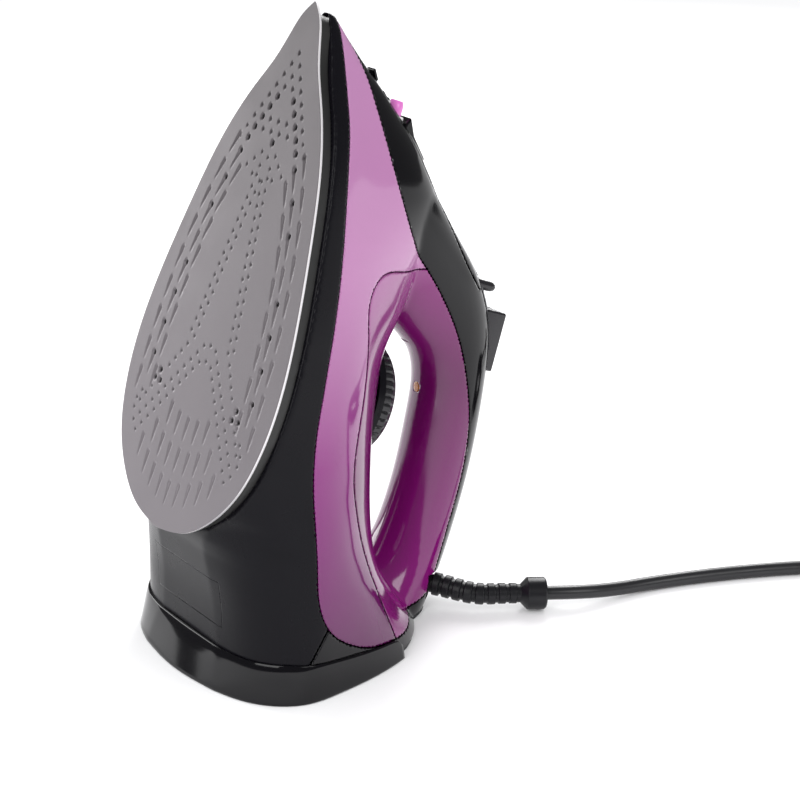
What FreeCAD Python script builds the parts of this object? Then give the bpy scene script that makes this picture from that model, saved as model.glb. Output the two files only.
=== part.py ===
"""Steam iron, standing on its heel. Millimetres, +Z up, origin on the heel's flat face.

The iron is drawn lying on its soleplate: x runs forward from the soleplate's round tail to its tip,
y to the left and z up from the pressing face. One placement at the end stands it on its heel.
The mains cord is drawn where it lies, on the surface that the iron stands on.
"""
import FreeCAD, Part
import math
import os

from FreeCAD import Vector as V

# --- driving dimensions ---------------------------------------------------------------
SOLE_LENGTH = 235.0        # soleplate, tail to tip
SOLE_HALF_WIDTH = 59.5     # soleplate, centre line to edge at its widest
LEAN = 21.2                # degrees the soleplate leans back from upright on the heel
TAIL_HEIGHT = 69.0         # soleplate tail above the surface when standing
ORIGIN_AHEAD = 62.0        # heel face centre, from below the soleplate tail
SHEET = 1.2                # coated pressing sheet
CASTING_TOP = 12.0         # top of the heated casting above the pressing face
CASTING_INSET = 4.2        # casting edge in from the soleplate edge
SHIELD_INSET = 2.2         # black shield edge in from the soleplate edge
SKIRT_EDGE = 7.0           # lower edge of the housing above the pressing face
WALL = 2.5                 # moulded walls
FOOT_HEIGHT = 18.0         # gloss foot ring, on the soleplate side
FOOT_END_HEIGHT = 9.6      # where its two arms end, on the handle side
FOOT_END = 95.0            # their ends, from below the soleplate tail
FOOT_FLOOR = 2.0           # its base plate
FOOT_FLARE_SOLE = 9.5      # how far the foot spreads on the soleplate side
FOOT_FLARE_SIDE = 3.0      # and on the other sides
DIAL_X = 74.0              # thermostat axis
DIAL_RADIUS = 28.0
DIAL_TOP = 85.0
DIAL_HEIGHT = 8.0
DIAL_NOTCHES = 48
DIAL_POCKET_GAP = 2.0      # ring of air round the dial
SHAFT_RADIUS = 4.0
RUN_CLEARANCE = 0.05       # running fits
BODY_GAP = 0.35            # between pieces that move past each other
BUTTON_REAR = 99.5         # button block along the handle
BUTTON_FRONT = 127.5
BUTTON_TOP = 147.0
BUTTON_BASE = 131.0
BUTTON_WIDTH = 9.6
BUTTON_TRAVEL = 3.5
PUMP_X = 113.0
PUMP_RADIUS = 4.3
PLUNGER_RADIUS = 3.0
PUMP_TOP = 122.0
PUMP_LENGTH = 20.0
VALVE_X = 150.0            # steam valve rod
ROD_RADIUS = 2.0
LEVER_ARM = 13.0
LEVER_SWING = 26.0         # degrees each way
LEVER_TOP = 141.0
STEAM_HOLE = 1.2           # radius
CHAIN_INSET = 17.5         # steam hole chain, in from the soleplate edge
CHAIN_PITCH = 14.1
SWIVEL = V(118.0, 0.0, 12.5)   # cord swivel centre, from below the soleplate tail
SWIVEL_DRUM = 6.0
SLOT_HEIGHT = 12.0         # slot that the cord guard swings in
GUARD_CORE = 4.4
GUARD_RIB = 5.5
GUARD_PITCH = 5.2
GUARD_RIBS = 8
BELL_RADIUS = 7.7
GUARD_START = 24.0         # first rib, along the guard from the swivel
BELL_LENGTH = 9.0
CORD_RADIUS = 3.3
COIL_INNER = 22.5          # coil of the put-away cord: three turns below, two above
COIL_OUTER = 50.5
COIL_HEIGHT = 13.4
COIL_CENTRE = V(398.0, -80.0, 0.0)
PLUG_RADIUS = 18.0

# --- helpers ---------------------------------------------------------------------------
LEAN_SIN = math.sin(math.radians(LEAN))
LEAN_COS = math.cos(math.radians(LEAN))
SIDE_REACH = 90.0          # wider than the iron, for cutting shapes
nodes = {}


def stand_up(shape):
    """Turns a shape from the lying frame into the standing frame."""
    m = FreeCAD.Matrix(LEAN_SIN, 0, LEAN_COS, -ORIGIN_AHEAD,
                       0, -1, 0, 0,
                       LEAN_COS, 0, -LEAN_SIN, TAIL_HEIGHT,
                       0, 0, 0, 1)
    placed = shape.copy()
    placed.Placement = FreeCAD.Placement(m).multiply(placed.Placement)
    return placed


def lay_down(shape):
    """The opposite turn, for shapes drawn level with the surface."""
    m = FreeCAD.Matrix(LEAN_SIN, 0, LEAN_COS, -ORIGIN_AHEAD,
                       0, -1, 0, 0,
                       LEAN_COS, 0, -LEAN_SIN, TAIL_HEIGHT,
                       0, 0, 0, 1)
    placed = shape.copy()
    placed.Placement = FreeCAD.Placement(m.inverse()).multiply(placed.Placement)
    return placed


def level(x, y, z):
    """A point given from below the soleplate tail, as a point in the standing frame."""
    return V(x - ORIGIN_AHEAD, y, z)


def smooth(points, closed=False):
    curve = Part.BSplineCurve()
    curve.interpolate(points, PeriodicFlag=closed)
    return curve.toShape()


def inset_line(points, distance):
    """Moves each point of an open line to its right by the distance."""
    moved = []
    for i, p in enumerate(points):
        before, after = points[max(i - 1, 0)], points[min(i + 1, len(points) - 1)]
        dx, dz = after[0] - before[0], after[1] - before[1]
        size = math.hypot(dx, dz)
        moved.append((p[0] + dz / size * distance, p[1] - dx / size * distance))
    return moved


def side_prism(points, corners, reach=SIDE_REACH):
    """A solid across the iron: a smooth seam line in the side view, closed through sharp corners."""
    line = [V(x, -reach, z) for x, z in points]
    seam = smooth(line)
    rest = Part.makePolygon([line[-1]] + [V(x, -reach, z) for x, z in corners] + [line[0]])
    face = Part.Face(Part.Wire([seam] + rest.Edges))
    return face.extrude(V(0, 2 * reach, 0))


def side_block(points, half_width, centre=0.0):
    """A prism of a sharp side-view outline."""
    wire = Part.makePolygon([V(x, centre - half_width, z) for x, z in points + points[:1]])
    return Part.Face(wire).extrude(V(0, 2 * half_width, 0))


def upright(x, y, z0, z1, radius):
    return Part.makeCylinder(radius, z1 - z0, V(x, y, z0))


def ring(x, y, z0, z1, outer, inner):
    return upright(x, y, z0, z1, outer).cut(upright(x, y, z0 - 1, z1 + 1, inner))


def joined(shapes):
    first = shapes[0]
    return first.multiFuse(shapes[1:]).removeSplitter() if len(shapes) > 1 else first


def group(shapes):
    return Part.makeCompound(shapes)


def both_sides(shape):
    """The shape and its mirror image across the iron's middle."""
    return [shape, shape.mirror(V(0, 0, 0), V(0, 1, 0))]


# --- soleplate --------------------------------------------------------------------------
# half outline as shares of the length and of the half width: a slightly pinched tip, widest in
# the rear third, and a round tail
SOLE_SHAPE = [(1.0, 0.0), (0.974, 0.104), (0.936, 0.183), (0.885, 0.279), (0.830, 0.424),
              (0.723, 0.649), (0.583, 0.818), (0.455, 0.934), (0.319, 1.0), (0.213, 0.963),
              (0.128, 0.840), (0.064, 0.632), (0.0213, 0.378), (0.0, 0.0)]


def sole_half():
    return [(x * SOLE_LENGTH, y * SOLE_HALF_WIDTH) for x, y in SOLE_SHAPE]


def sole_width_at(x):
    line = sole_half()
    for (xa, ya), (xb, yb) in zip(line, line[1:]):
        if xb <= x <= xa:
            return ya + (yb - ya) * (xa - x) / (xa - xb)
    return 0.0


def sole_outline(inset, z):
    """Closed soleplate outline, moved in by inset, at height z."""
    left = inset_line(sole_half(), -inset)
    tip_back = 2.2 * inset
    left[0] = (SOLE_LENGTH - tip_back, 0.0)
    left[-1] = (inset, 0.0)
    left = [left[0]] + [p for p in left[1:] if p[0] < left[0][0] - 1.0]
    right = [(x, -y) for x, y in reversed(left[:-1])]
    return Part.Wire([smooth([V(x, y, z) for x, y in left + right])])


def sole_plate(inset, z0, z1):
    return Part.Face(sole_outline(inset, z0)).extrude(V(0, 0, z1 - z0))


def steam_hole_places():
    """Left-hand steam holes: a short diagonal near the tip, a chain along the edge and a trio."""
    places = [(SOLE_LENGTH - 42.6 - 5.05 * k, 6.3 + 3.5 * k) for k in range(4)]
    chain = [SOLE_LENGTH - 63.0, SOLE_LENGTH - 69.4]
    chain += [SOLE_LENGTH - 82.6 - CHAIN_PITCH * k for k in range(7) if k != 2]
    places += [(x, sole_width_at(x) - CHAIN_INSET) for x in chain]
    trio = (60.0, 33.2)
    places += [(trio[0] + 2.7 * math.cos(a), trio[1] + 2.7 * math.sin(a))
               for a in (0.0, 2.1, 4.2)]
    return places


holes = []
for hx, hy in steam_hole_places():
    holes += both_sides(upright(hx, hy, -1.0, SHEET + 2.0, STEAM_HOLE))
holes.append(upright(SOLE_LENGTH - 62.0, 0, -1.0, SHEET + 2.0, STEAM_HOLE))
nodes["sole_sheet"] = sole_plate(0.0, 0.0, SHEET).cut(group(holes))

# heating element: one long tube bent round the tail, in a groove in the top of the casting
ELEMENT_RADIUS = 3.2
ELEMENT_Z = CASTING_TOP - ELEMENT_RADIUS
ELEMENT_FRONT, ELEMENT_REAR, ELEMENT_BEND = 168.0, 62.0, 32.0


def element(radius):
    legs = [Part.makeCylinder(radius, ELEMENT_FRONT - ELEMENT_REAR - 20,
                              V(ELEMENT_REAR, s * ELEMENT_BEND, ELEMENT_Z), V(1, 0, 0))
            for s in (-1, 1)]
    bend = Part.makeTorus(ELEMENT_BEND, radius, V(ELEMENT_REAR, 0, ELEMENT_Z))
    bend = bend.common(Part.makeBox(ELEMENT_BEND * 2, ELEMENT_BEND * 4, 4 * radius,
                                    V(ELEMENT_REAR - 2 * ELEMENT_BEND, -2 * ELEMENT_BEND,
                                      ELEMENT_Z - 2 * radius)))
    return joined(legs + [bend])


groove = element(ELEMENT_RADIUS)
channel = [Part.makeBox(ELEMENT_FRONT - ELEMENT_REAR - 20, 2 * ELEMENT_RADIUS, CASTING_TOP,
                        V(ELEMENT_REAR, s * ELEMENT_BEND - ELEMENT_RADIUS, ELEMENT_Z))
           for s in (-1, 1)]
bend_slot = ring(ELEMENT_REAR, 0, ELEMENT_Z, CASTING_TOP + 5, ELEMENT_BEND + ELEMENT_RADIUS,
                 ELEMENT_BEND - ELEMENT_RADIUS)
bend_slot = bend_slot.common(Part.makeBox(80, 160, 60, V(ELEMENT_REAR - 80, -80, 0)))
chamber = upright(VALVE_X, 0, CASTING_TOP - 5, CASTING_TOP + 1, 18.0)
casting = sole_plate(CASTING_INSET, SHEET, CASTING_TOP)
nodes["sole_casting"] = casting.cut(group(channel + [groove, bend_slot, chamber]))
nodes["heating_element"] = groove
nodes["element_terminals"] = group([
    joined([upright(ELEMENT_FRONT - 26, s * ELEMENT_BEND, ELEMENT_Z + ELEMENT_RADIUS, 15.0, 2.0),
            Part.makeBox(7, 0.8, 4, V(ELEMENT_FRONT - 29.5, s * ELEMENT_BEND - 0.4, 13.5))])
    for s in (-1, 1)])
COVER_TOP = CASTING_TOP + 1.5
cover = ring(VALVE_X, 0, CASTING_TOP, COVER_TOP, 22.0, ROD_RADIUS + 2.0)
nodes["steam_chamber_cover"] = cover
SEAT_TOP = COVER_TOP + 4.0
nodes["valve_seat"] = ring(VALVE_X, 0, CASTING_TOP - 2.0, SEAT_TOP, ROD_RADIUS + 2.0,
                           ROD_RADIUS + RUN_CLEARANCE)

# black shield: the recessed band between the soleplate and the housing
shield = sole_plate(SHIELD_INSET, SHEET, SKIRT_EDGE + 1.5)
shield = shield.cut(sole_plate(CASTING_INSET, 0.0, CASTING_TOP + 5))
nodes["heat_shield"] = shield

# thermostat on the casting, with its shaft in the dial's body
THERMO_TOP = CASTING_TOP + 9.0
thermo = Part.makeBox(30, 22, 9.0, V(DIAL_X - 15, -11, CASTING_TOP))
nodes["thermostat_body"] = thermo.cut(upright(DIAL_X, 0, CASTING_TOP - 1, THERMO_TOP + 1,
                                              SHAFT_RADIUS + RUN_CLEARANCE))
fuse = Part.makeCylinder(3.0, 24.0, V(24, 0, CASTING_TOP + 3.0), V(1, 0, 0))
clip = Part.makeBox(8, 9, 3.0, V(32, -4.5, CASTING_TOP))
nodes["thermal_fuse"] = joined([fuse, clip])
nodes["casting_screws"] = group([
    joined([upright(x, y, CASTING_TOP, CASTING_TOP + 2.4, 3.6),
            upright(x, y, CASTING_TOP, CASTING_TOP + 3.0, 1.9)])
    for x, y in ((186, 0), (30, 24), (30, -24))])

# --- body envelope ----------------------------------------------------------------------
# stations along the iron: x, lower edge height, half width there, side points, crown height
STATIONS = [
    (232, 7.0, 3.4, [(3.4, 7.8), (3.1, 8.6), (2.6, 9.3), (2.0, 9.9), (1.3, 10.4), (.6, 10.8)], 11.0),
    (220, 7.0, 10.9, [(10.6, 11), (9.7, 15), (8.4, 18.5), (6.8, 21.4), (4.9, 24.0), (2.6, 26.2)], 27.4),
    (205, 7.0, 19.6, [(18.8, 14), (16.4, 22), (14.0, 30), (11.8, 37), (9.2, 43), (5.6, 47.4)], 50.0),
    (185, 7.0, 32.3, [(30.8, 15), (27.0, 27), (23.6, 38), (20.6, 49), (16.8, 60), (10.8, 70)], 76.0),
    (160, 7.0, 42.3, [(39.8, 17), (35.5, 30), (31.5, 42), (27.0, 56), (21.5, 72), (12.6, 87)], 96.0),
    (122, 7.0, 52.2, [(49.8, 20), (46.5, 32), (42.0, 44), (35.0, 58), (26.0, 72), (13.5, 83)], 87.5),
    (98, 7.0, 57.2, [(54.8, 21), (51.5, 34), (46.5, 46), (38.5, 58), (28.0, 69), (14.5, 76)], 78.5),
    (74, 7.0, 59.3, [(57.8, 22), (55.0, 37), (49.8, 49), (41.5, 61), (30.0, 72), (15.5, 79)], 81.5),
    (47, 7.0, 57.0, [(58.3, 24), (56.5, 40), (51.5, 54), (43.5, 67), (31.5, 79), (16.0, 86.5)], 89.0),
    (22, 7.0, 45.5, [(54.5, 22), (58.8, 40), (55.5, 58), (47.0, 73), (34.0, 87), (17.5, 95.5)], 99.0),
    (8, 7.0, 28.0, [(43.5, 16), (58.5, 38), (58.0, 58), (50.5, 77), (37.5, 93), (19.5, 102)], 106.0),
    (-4, 14.0, 21.0, [(42, 21), (58.7, 41), (59.0, 62), (53.0, 83), (41.5, 101), (23.0, 114)], 120.0),
    (-25, 25.5, 22.0, [(43, 30), (60.0, 47), (60.2, 68), (55.5, 91), (46.5, 115), (26.5, 138)], 150.0),
    (-50, 35.2, 25.0, [(45, 40), (61.0, 57), (61.0, 76), (57.0, 96), (48.0, 119), (28.0, 142)], 153.0),
    (-84, 48.0, 28.0, [(47, 53), (62.0, 70), (62.0, 88), (58.0, 107), (49.0, 130), (29.0, 152)], 161.0),
]
# the housing follows the soleplate: its length and width scale the stations
LENGTH_SCALE = SOLE_LENGTH / 235.0
WIDTH_SCALE = SOLE_HALF_WIDTH / 59.5


SECTION_PITCH = 12.0       # spacing of the cross-sections that the loft runs through


def eased(xs, values, x):
    """Value at x of a smooth curve through the points, with no overshoot. xs run downwards."""
    i = max(k for k in range(len(xs) - 1) if x <= xs[k])

    def slope(k):
        return (values[k + 1] - values[k]) / (xs[k + 1] - xs[k])

    def tangent(k):
        if k == 0 or k == len(xs) - 1:
            return slope(min(k, len(xs) - 2))
        before, after = slope(k - 1), slope(k)
        return 0.0 if before * after <= 0 else 2 * before * after / (before + after)

    step = xs[i + 1] - xs[i]
    t = (x - xs[i]) / step
    return ((1 + 2 * t) * (1 - t) ** 2 * values[i] + t * (1 - t) ** 2 * step * tangent(i)
            + t * t * (3 - 2 * t) * values[i + 1] + t * t * (t - 1) * step * tangent(i + 1))


def section_line(x):
    """Half section of the body at x, from the lower edge up to the crown."""
    xs = [s[0] for s in STATIONS]
    low = eased(xs, [s[1] for s in STATIONS], x)
    half = eased(xs, [s[2] for s in STATIONS], x)
    line = [(half * WIDTH_SCALE, low)]
    for k in range(len(STATIONS[0][3])):
        line.append((eased(xs, [s[3][k][0] for s in STATIONS], x) * WIDTH_SCALE,
                     eased(xs, [s[3][k][1] for s in STATIONS], x)))
    return line + [(0.0, eased(xs, [s[4] for s in STATIONS], x))]


def section_wire(x, inset):
    line = section_line(x)
    if inset:
        open_below = x > 0
        low, crown = line[0][1], line[-1][1]
        line = inset_line(line, -inset)
        line[-1] = (0.0, crown - inset)
        line[0] = (line[0][0], low - 3.0 if open_below else low + inset)
    px = x * LENGTH_SCALE if x > 0 else x
    left = [V(px, w, z) for w, z in line]
    right = [V(px, -p.y, p.z) for p in reversed(left[:-1])]
    return Part.Wire([smooth(left + right), Part.makeLine(right[-1], left[0])])


def body_solid(inset=0.0):
    """The lower body: skirt, tank and heel. With an inset it is the space inside the walls."""
    first, last = (STATIONS[0][0] if not inset else 212.0), STATIONS[-1][0]
    count = round((first - last) / SECTION_PITCH)
    wires = [section_wire(first + (last - first) * k / count, inset) for k in range(count + 1)]
    return Part.makeLoft(wires, True, False)


# handle loop: centre line in the side view, half depth across it and half width
HANDLE = [
    (184, 40, 20.0, 19.0), (157, 67, 25.0, 21.0), (135, 95, 25.0, 19.5), (116, 119, 22.0, 17.5),
    (94, 130, 18.0, 16.5), (72, 134.5, 17.6, 16.5), (48, 137.5, 17.6, 16.5),
    (24, 138.3, 17.6, 16.8), (3, 136.5, 18.5, 18.5), (-18, 129, 22.5, 23.0), (-45, 114, 30.0, 30.0),
    (-80, 98, 36.0, 36.0),
]


def handle_solid(inset=0.0):
    wires = []
    for i, (x, z, deep, wide) in enumerate(HANDLE):
        before, after = HANDLE[max(i - 1, 0)], HANDLE[min(i + 1, len(HANDLE) - 1)]
        dx, dz = after[0] - before[0], after[1] - before[1]
        size = math.hypot(dx, dz)
        nx, nz = -dz / size, dx / size
        points = []
        for k in range(16):
            a = math.pi * k / 8
            p, q = (deep - inset) * math.cos(a), (wide - inset) * math.sin(a)
            points.append(V((x + nx * p) * 1.0, q, z + nz * p))
        wires.append(Part.Wire([smooth(points, True)]))
    return Part.makeLoft(wires, True, False)


floor_block = lay_down(Part.makeBox(700, 700, 300, V(-350, -350, -300)))
foot_band = lay_down(Part.makeBox(700, 700, 300, V(-350, -350, FOOT_FLOOR - 300)))
body = body_solid()
handle = handle_solid()
envelope = body.fuse(handle).cut(floor_block)
cavity = body_solid(WALL).fuse(handle_solid(WALL))

# --- seams in the side view ----------------------------------------------------------------
SKIRT_SEAM = [(245, 10.5), (224, 12.8), (205, 15.2), (185, 16), (160, 17.5), (125, 20.5), (91, 22),
              (70, 24), (50, 28.5), (30, 36), (8, 45), (-9, 52), (-19, 61), (-24, 74), (-25.2, 90),
              (-22.6, 104), (-19, 118), (-13.5, 133), (-6, 146), (4, 158), (14, 172)]
COVER_SEAM = [(242, 4), (228, 17), (206, 33), (189, 41), (175, 49.5), (160, 60.5), (147.5, 72.5),
              (138, 86), (129, 98), (119.5, 109), (106, 121), (90, 131), (75, 138), (50, 144),
              (26, 145.3), (0, 145.6), (-20, 145.2), (-45, 145)]
DECK_SEAM = [(150, 104), (140, 86), (136, 64), (132, 48), (122, 42.5), (108, 45.5), (85, 51),
             (64, 53), (46, 57), (29, 66), (10, 80), (-8, 95), (-24, 109), (-45, 125)]
REAR_SEAM = [(-8, 64), (-21, 59), (-35, 55.5), (-60, 49.5), (-95, 41)]
POD_SEAM = [(158, 108), (147, 119), (138, 124), (126, 132), (110, 140), (95, 146.5), (80, 150.5),
            (66, 154.5), (50, 160)]

skirt_zone = side_prism(SKIRT_SEAM, [(14, 220), (-150, 220), (-150, -40), (245, -40)])
cover_zone = side_prism(COVER_SEAM, [(-45, 230), (242, 230)])
deck_zone = side_prism(DECK_SEAM, [(-90, 125), (-90, 230), (150, 230)])
rear_zone = side_prism(REAR_SEAM, [(-95, 240), (60, 240), (60, 64)])
pod_zone = side_prism(POD_SEAM, [(50, 230), (158, 230)])

shell = envelope.cut(cavity)
front = shell.cut(skirt_zone)
rear = shell.common(skirt_zone)
rear_skin = rear.cut(foot_band)
sole_pocket = sole_plate(SHIELD_INSET, 0.0, CASTING_TOP + 4.0)


def level_box(x0, x1, half_width, z0, z1):
    """A box square to the surface, given from below the soleplate tail, in the lying frame."""
    box = Part.makeBox(x1 - x0, 2 * half_width, z1 - z0, level(x0, -half_width, z0))
    return lay_down(box)


def level_cylinder(centre, radius, z0, z1):
    base = level(centre.x, centre.y, z0)
    return lay_down(Part.makeCylinder(radius, z1 - z0, base))


# --- heel ----------------------------------------------------------------------------------
PANEL_HALF, PANEL_LOW, PANEL_HIGH = 28.0, 27.5, 49.5
panel_zone = level_box(-10, 40, PANEL_HALF, PANEL_LOW, PANEL_HIGH)
skirt = rear_skin.cut(rear_zone).cut(sole_pocket)
nodes["rating_panel"] = skirt.common(panel_zone)
nodes["skirt_shell"] = skirt.cut(panel_zone)

# slot that the cord guard swings in, and the cup that holds its drum
SLOT_REACH, SLOT_HALF_ANGLE = 60.0, 52.0
CUP_WALL = 2.0
CUP_INNER = SWIVEL_DRUM + 3.0
CUP_HALF_ANGLE = 75.0
PIVOT_RADIUS = 2.5


def wedge(radius, half_angle):
    """A sector about the swivel, open towards the handle side, as high as the slot."""
    base = level(SWIVEL.x, SWIVEL.y, SWIVEL.z - SLOT_HEIGHT / 2)
    sector = Part.makeCylinder(radius, SLOT_HEIGHT, base, V(0, 0, 1), 2 * half_angle)
    sector.rotate(base, V(0, 0, 1), -half_angle)
    return lay_down(sector)


slot = wedge(SLOT_REACH, SLOT_HALF_ANGLE)
cup_low = SWIVEL.z - SLOT_HEIGHT / 2 - CUP_WALL
cup_high = SWIVEL.z + SLOT_HEIGHT / 2 + CUP_WALL
cup_room = level_cylinder(SWIVEL, CUP_INNER + CUP_WALL, cup_low, cup_high)
cup = cup_room.cut(level_cylinder(SWIVEL, CUP_INNER, cup_low + CUP_WALL, cup_high - CUP_WALL))
pivot_hole = level_cylinder(SWIVEL, PIVOT_RADIUS + RUN_CLEARANCE, cup_low - 1, cup_high + 1)
nodes["swivel_cup"] = cup.cut(wedge(2 * CUP_INNER, CUP_HALF_ANGLE)).cut(pivot_hole)
nodes["rear_cover"] = rear_skin.common(rear_zone).cut(slot).cut(cup_room)


def angular_wire(solid, height, spread, z):
    """The solid's outline at a height, moved outwards by spread(angle), as a closed curve at z."""
    outline = max(stand_up(solid).slice(V(0, 0, 1), height), key=lambda w: w.Length)
    box = outline.BoundBox
    middle = V((box.XMin + box.XMax) / 2, 0, height)
    points = []
    for k in range(FOOT_POINTS):
        angle = 2 * math.pi * k / FOOT_POINTS
        way = V(math.cos(angle), math.sin(angle), 0)
        spoke = Part.makeLine(middle, middle + way * 300)
        hit = outline.distToShape(spoke)[1][0][0]
        points.append(V(hit.x, hit.y, z) + way * spread(angle))
    return Part.Wire([smooth(points, True)])


FOOT_POINTS = 40
FOOT_LIP = 0.6
FOOT_SLOPE_START = 30.0


def flare(angle):
    """Spread of the foot's base: most towards the soleplate, which is at half a turn."""
    towards_sole = max(0.0, -math.cos(angle))
    return FOOT_FLARE_SIDE + (FOOT_FLARE_SOLE - FOOT_FLARE_SIDE) * towards_sole ** 2


FOOT_LOFT_TOP = FOOT_HEIGHT + 3.0
foot = Part.makeLoft([angular_wire(envelope, 0.05, flare, 0.0),
                      angular_wire(envelope, FOOT_LOFT_TOP, lambda a: FOOT_LIP, FOOT_LOFT_TOP)],
                     True, False)
foot = lay_down(foot)
foot_top = [(-90, FOOT_HEIGHT), (FOOT_SLOPE_START, FOOT_HEIGHT), (FOOT_END, FOOT_END_HEIGHT),
            (FOOT_END, -5), (300, -5), (300, 80), (-90, 80)]
above = Part.Face(Part.makePolygon([level(x, -150, z) for x, z in foot_top + foot_top[:1]]))
foot = foot.cut(lay_down(above.extrude(V(0, 300, 0)))).cut(envelope)
base_plate = envelope.common(level_box(-80, 300, 150, 0.0, FOOT_FLOOR))
SCREW_PLACES = [(38.0, 34.0), (38.0, -34.0)]
heel_screws = [joined([level_cylinder(V(x, y, 0), 4.0, 0.6, FOOT_FLOOR),
                       level_cylinder(V(x, y, 0), 2.0, FOOT_FLOOR, 12.0)])
               for x, y in SCREW_PLACES]
nodes["heel_foot"] = joined([foot, base_plate]).cut(group(
    heel_screws + [level_cylinder(V(x, y, 0), 4.0, -1.0, 1.0) for x, y in SCREW_PLACES])).cut(slot)
nodes["heel_screws"] = group(heel_screws)

# --- tank ------------------------------------------------------------------------------------
inner_skirt = side_prism(inset_line(SKIRT_SEAM, WALL), [(14, 220), (-150, 220), (-150, -40),
                                                        (245, -40)])
inner_cover = side_prism(inset_line(COVER_SEAM, -WALL), [(-45, 230), (242, 230)])
inner_deck = side_prism(inset_line(DECK_SEAM, -WALL), [(-90, 125), (-90, 230), (150, 230)])
tank_block = envelope.cut(skirt_zone).cut(cover_zone).cut(deck_zone)
tank_block = max(tank_block.Solids, key=lambda q: q.Volume)
tank_space = cavity.cut(inner_skirt).cut(inner_cover).cut(inner_deck)
tunnel = upright(DIAL_X, 0, 0, 120, SHAFT_RADIUS + 4.0).common(tank_block)
rod_tube = upright(VALVE_X, 0, 0, 120, ROD_RADIUS + 2.5).common(tank_block)
tank = tank_block.cut(tank_space).fuse([tunnel, rod_tube])
FILLER_MOUTH, FILLER_WAY = V(209, 0, 40), V(-0.62, 0, -0.78)
tank = tank.cut(upright(DIAL_X, 0, 0, 120, SHAFT_RADIUS + 1.5))
tank = tank.cut(upright(VALVE_X, 0, 0, 120, ROD_RADIUS + 0.3))
tank = tank.cut(Part.makeCylinder(4.0, 22.0, FILLER_MOUTH, FILLER_WAY))
nodes["water_tank"] = tank

# --- handle, deck and dial ---------------------------------------------------------------------
POCKET_FLOOR = DIAL_TOP - DIAL_HEIGHT - 0.6
BEZEL_BASE = POCKET_FLOOR - 4.0
pocket = upright(DIAL_X, 0, BEZEL_BASE, DIAL_TOP + 12, DIAL_RADIUS + DIAL_POCKET_GAP)
LENS_X = 84.0
lens = upright(LENS_X, 0, 112.0, 122.0, 2.4)
deck = front.common(deck_zone).cut(cover_zone).cut(pocket).cut(lens).cut(slot)
nodes["handle_shell"] = deck
nodes["pilot_light"] = lens.common(handle_solid()).cut(upright(LENS_X, 0, 119.8, 130, 5))
nodes["dial_bezel"] = ring(DIAL_X, 0, BEZEL_BASE, POCKET_FLOOR, DIAL_RADIUS + DIAL_POCKET_GAP,
                           SHAFT_RADIUS + RUN_CLEARANCE)
shaft = upright(DIAL_X, 0, CASTING_TOP + 1.0, DIAL_TOP - 3.0, SHAFT_RADIUS)
dial = upright(DIAL_X, 0, DIAL_TOP - DIAL_HEIGHT, DIAL_TOP - 1.5, DIAL_RADIUS)
dial = dial.fuse(Part.makeCone(DIAL_RADIUS - 1.0, DIAL_RADIUS - 2.5, 1.5,
                               V(DIAL_X, 0, DIAL_TOP - 1.5)))
notches = [upright(DIAL_X + DIAL_RADIUS * math.cos(a), DIAL_RADIUS * math.sin(a),
                   DIAL_TOP - DIAL_HEIGHT - 1, DIAL_TOP + 1, 0.55)
           for a in [2 * math.pi * k / DIAL_NOTCHES for k in range(DIAL_NOTCHES)]]
nodes["thermostat_dial"] = dial.cut(group(notches)).cut(shaft)
nodes["thermostat_shaft"] = shaft

# --- top covers ----------------------------------------------------------------------------------
NOZZLE_Z = 56.0
nozzle_seat = Part.makeCylinder(5.0, 8.0, V(191.5, 0, NOZZLE_Z), V(1, 0, 0))
nozzle_bore = Part.makeCylinder(5.0, 30.0, V(191.5, 0, NOZZLE_Z), V(1, 0, 0))
nozzle = Part.makeCylinder(3.6, 9.0, V(195.5, 0, NOZZLE_Z), V(1, 0, 0))
nozzle = nozzle.fuse(Part.makeCone(3.6, 2.8, 1.5, V(204.5, 0, NOZZLE_Z), V(1, 0, 0)))
nozzle = nozzle.cut(Part.makeCylinder(0.6, 4.0, V(203.0, 0, NOZZLE_Z), V(1, 0, 0)))
nodes["spray_nozzle"] = nozzle
nodes["nozzle_seat"] = nozzle_seat.cut(Part.makeCylinder(3.6, 30.0, V(195.5, 0, NOZZLE_Z),
                                                         V(1, 0, 0)))

# filler door: a flap on the front ridge, hinged at its handle end
RIDGE_LOW, RIDGE_HIGH = V(214.0, 0, 36.6), V(205.9, 0, 48.8)
ridge_way = (RIDGE_HIGH - RIDGE_LOW).normalize()
ridge_out = V(ridge_way.z, 0, -ridge_way.x)
DOOR_THICK = 2.4
HINGE_RADIUS = 1.9
hinge = RIDGE_HIGH - ridge_out * 2.2


def door_prism(grow):
    corners = [RIDGE_LOW - ridge_way * grow + ridge_out * 4,
               RIDGE_HIGH + ridge_out * 4,
               RIDGE_HIGH - ridge_out * (DOOR_THICK + grow),
               RIDGE_LOW - ridge_way * grow - ridge_out * (DOOR_THICK + grow)]
    return side_block([(p.x, p.z) for p in corners], 20.0)


def door_barrel(radius, half_length):
    return Part.makeCylinder(radius, 2 * half_length, hinge - V(0, half_length, 0), V(0, 1, 0))


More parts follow.
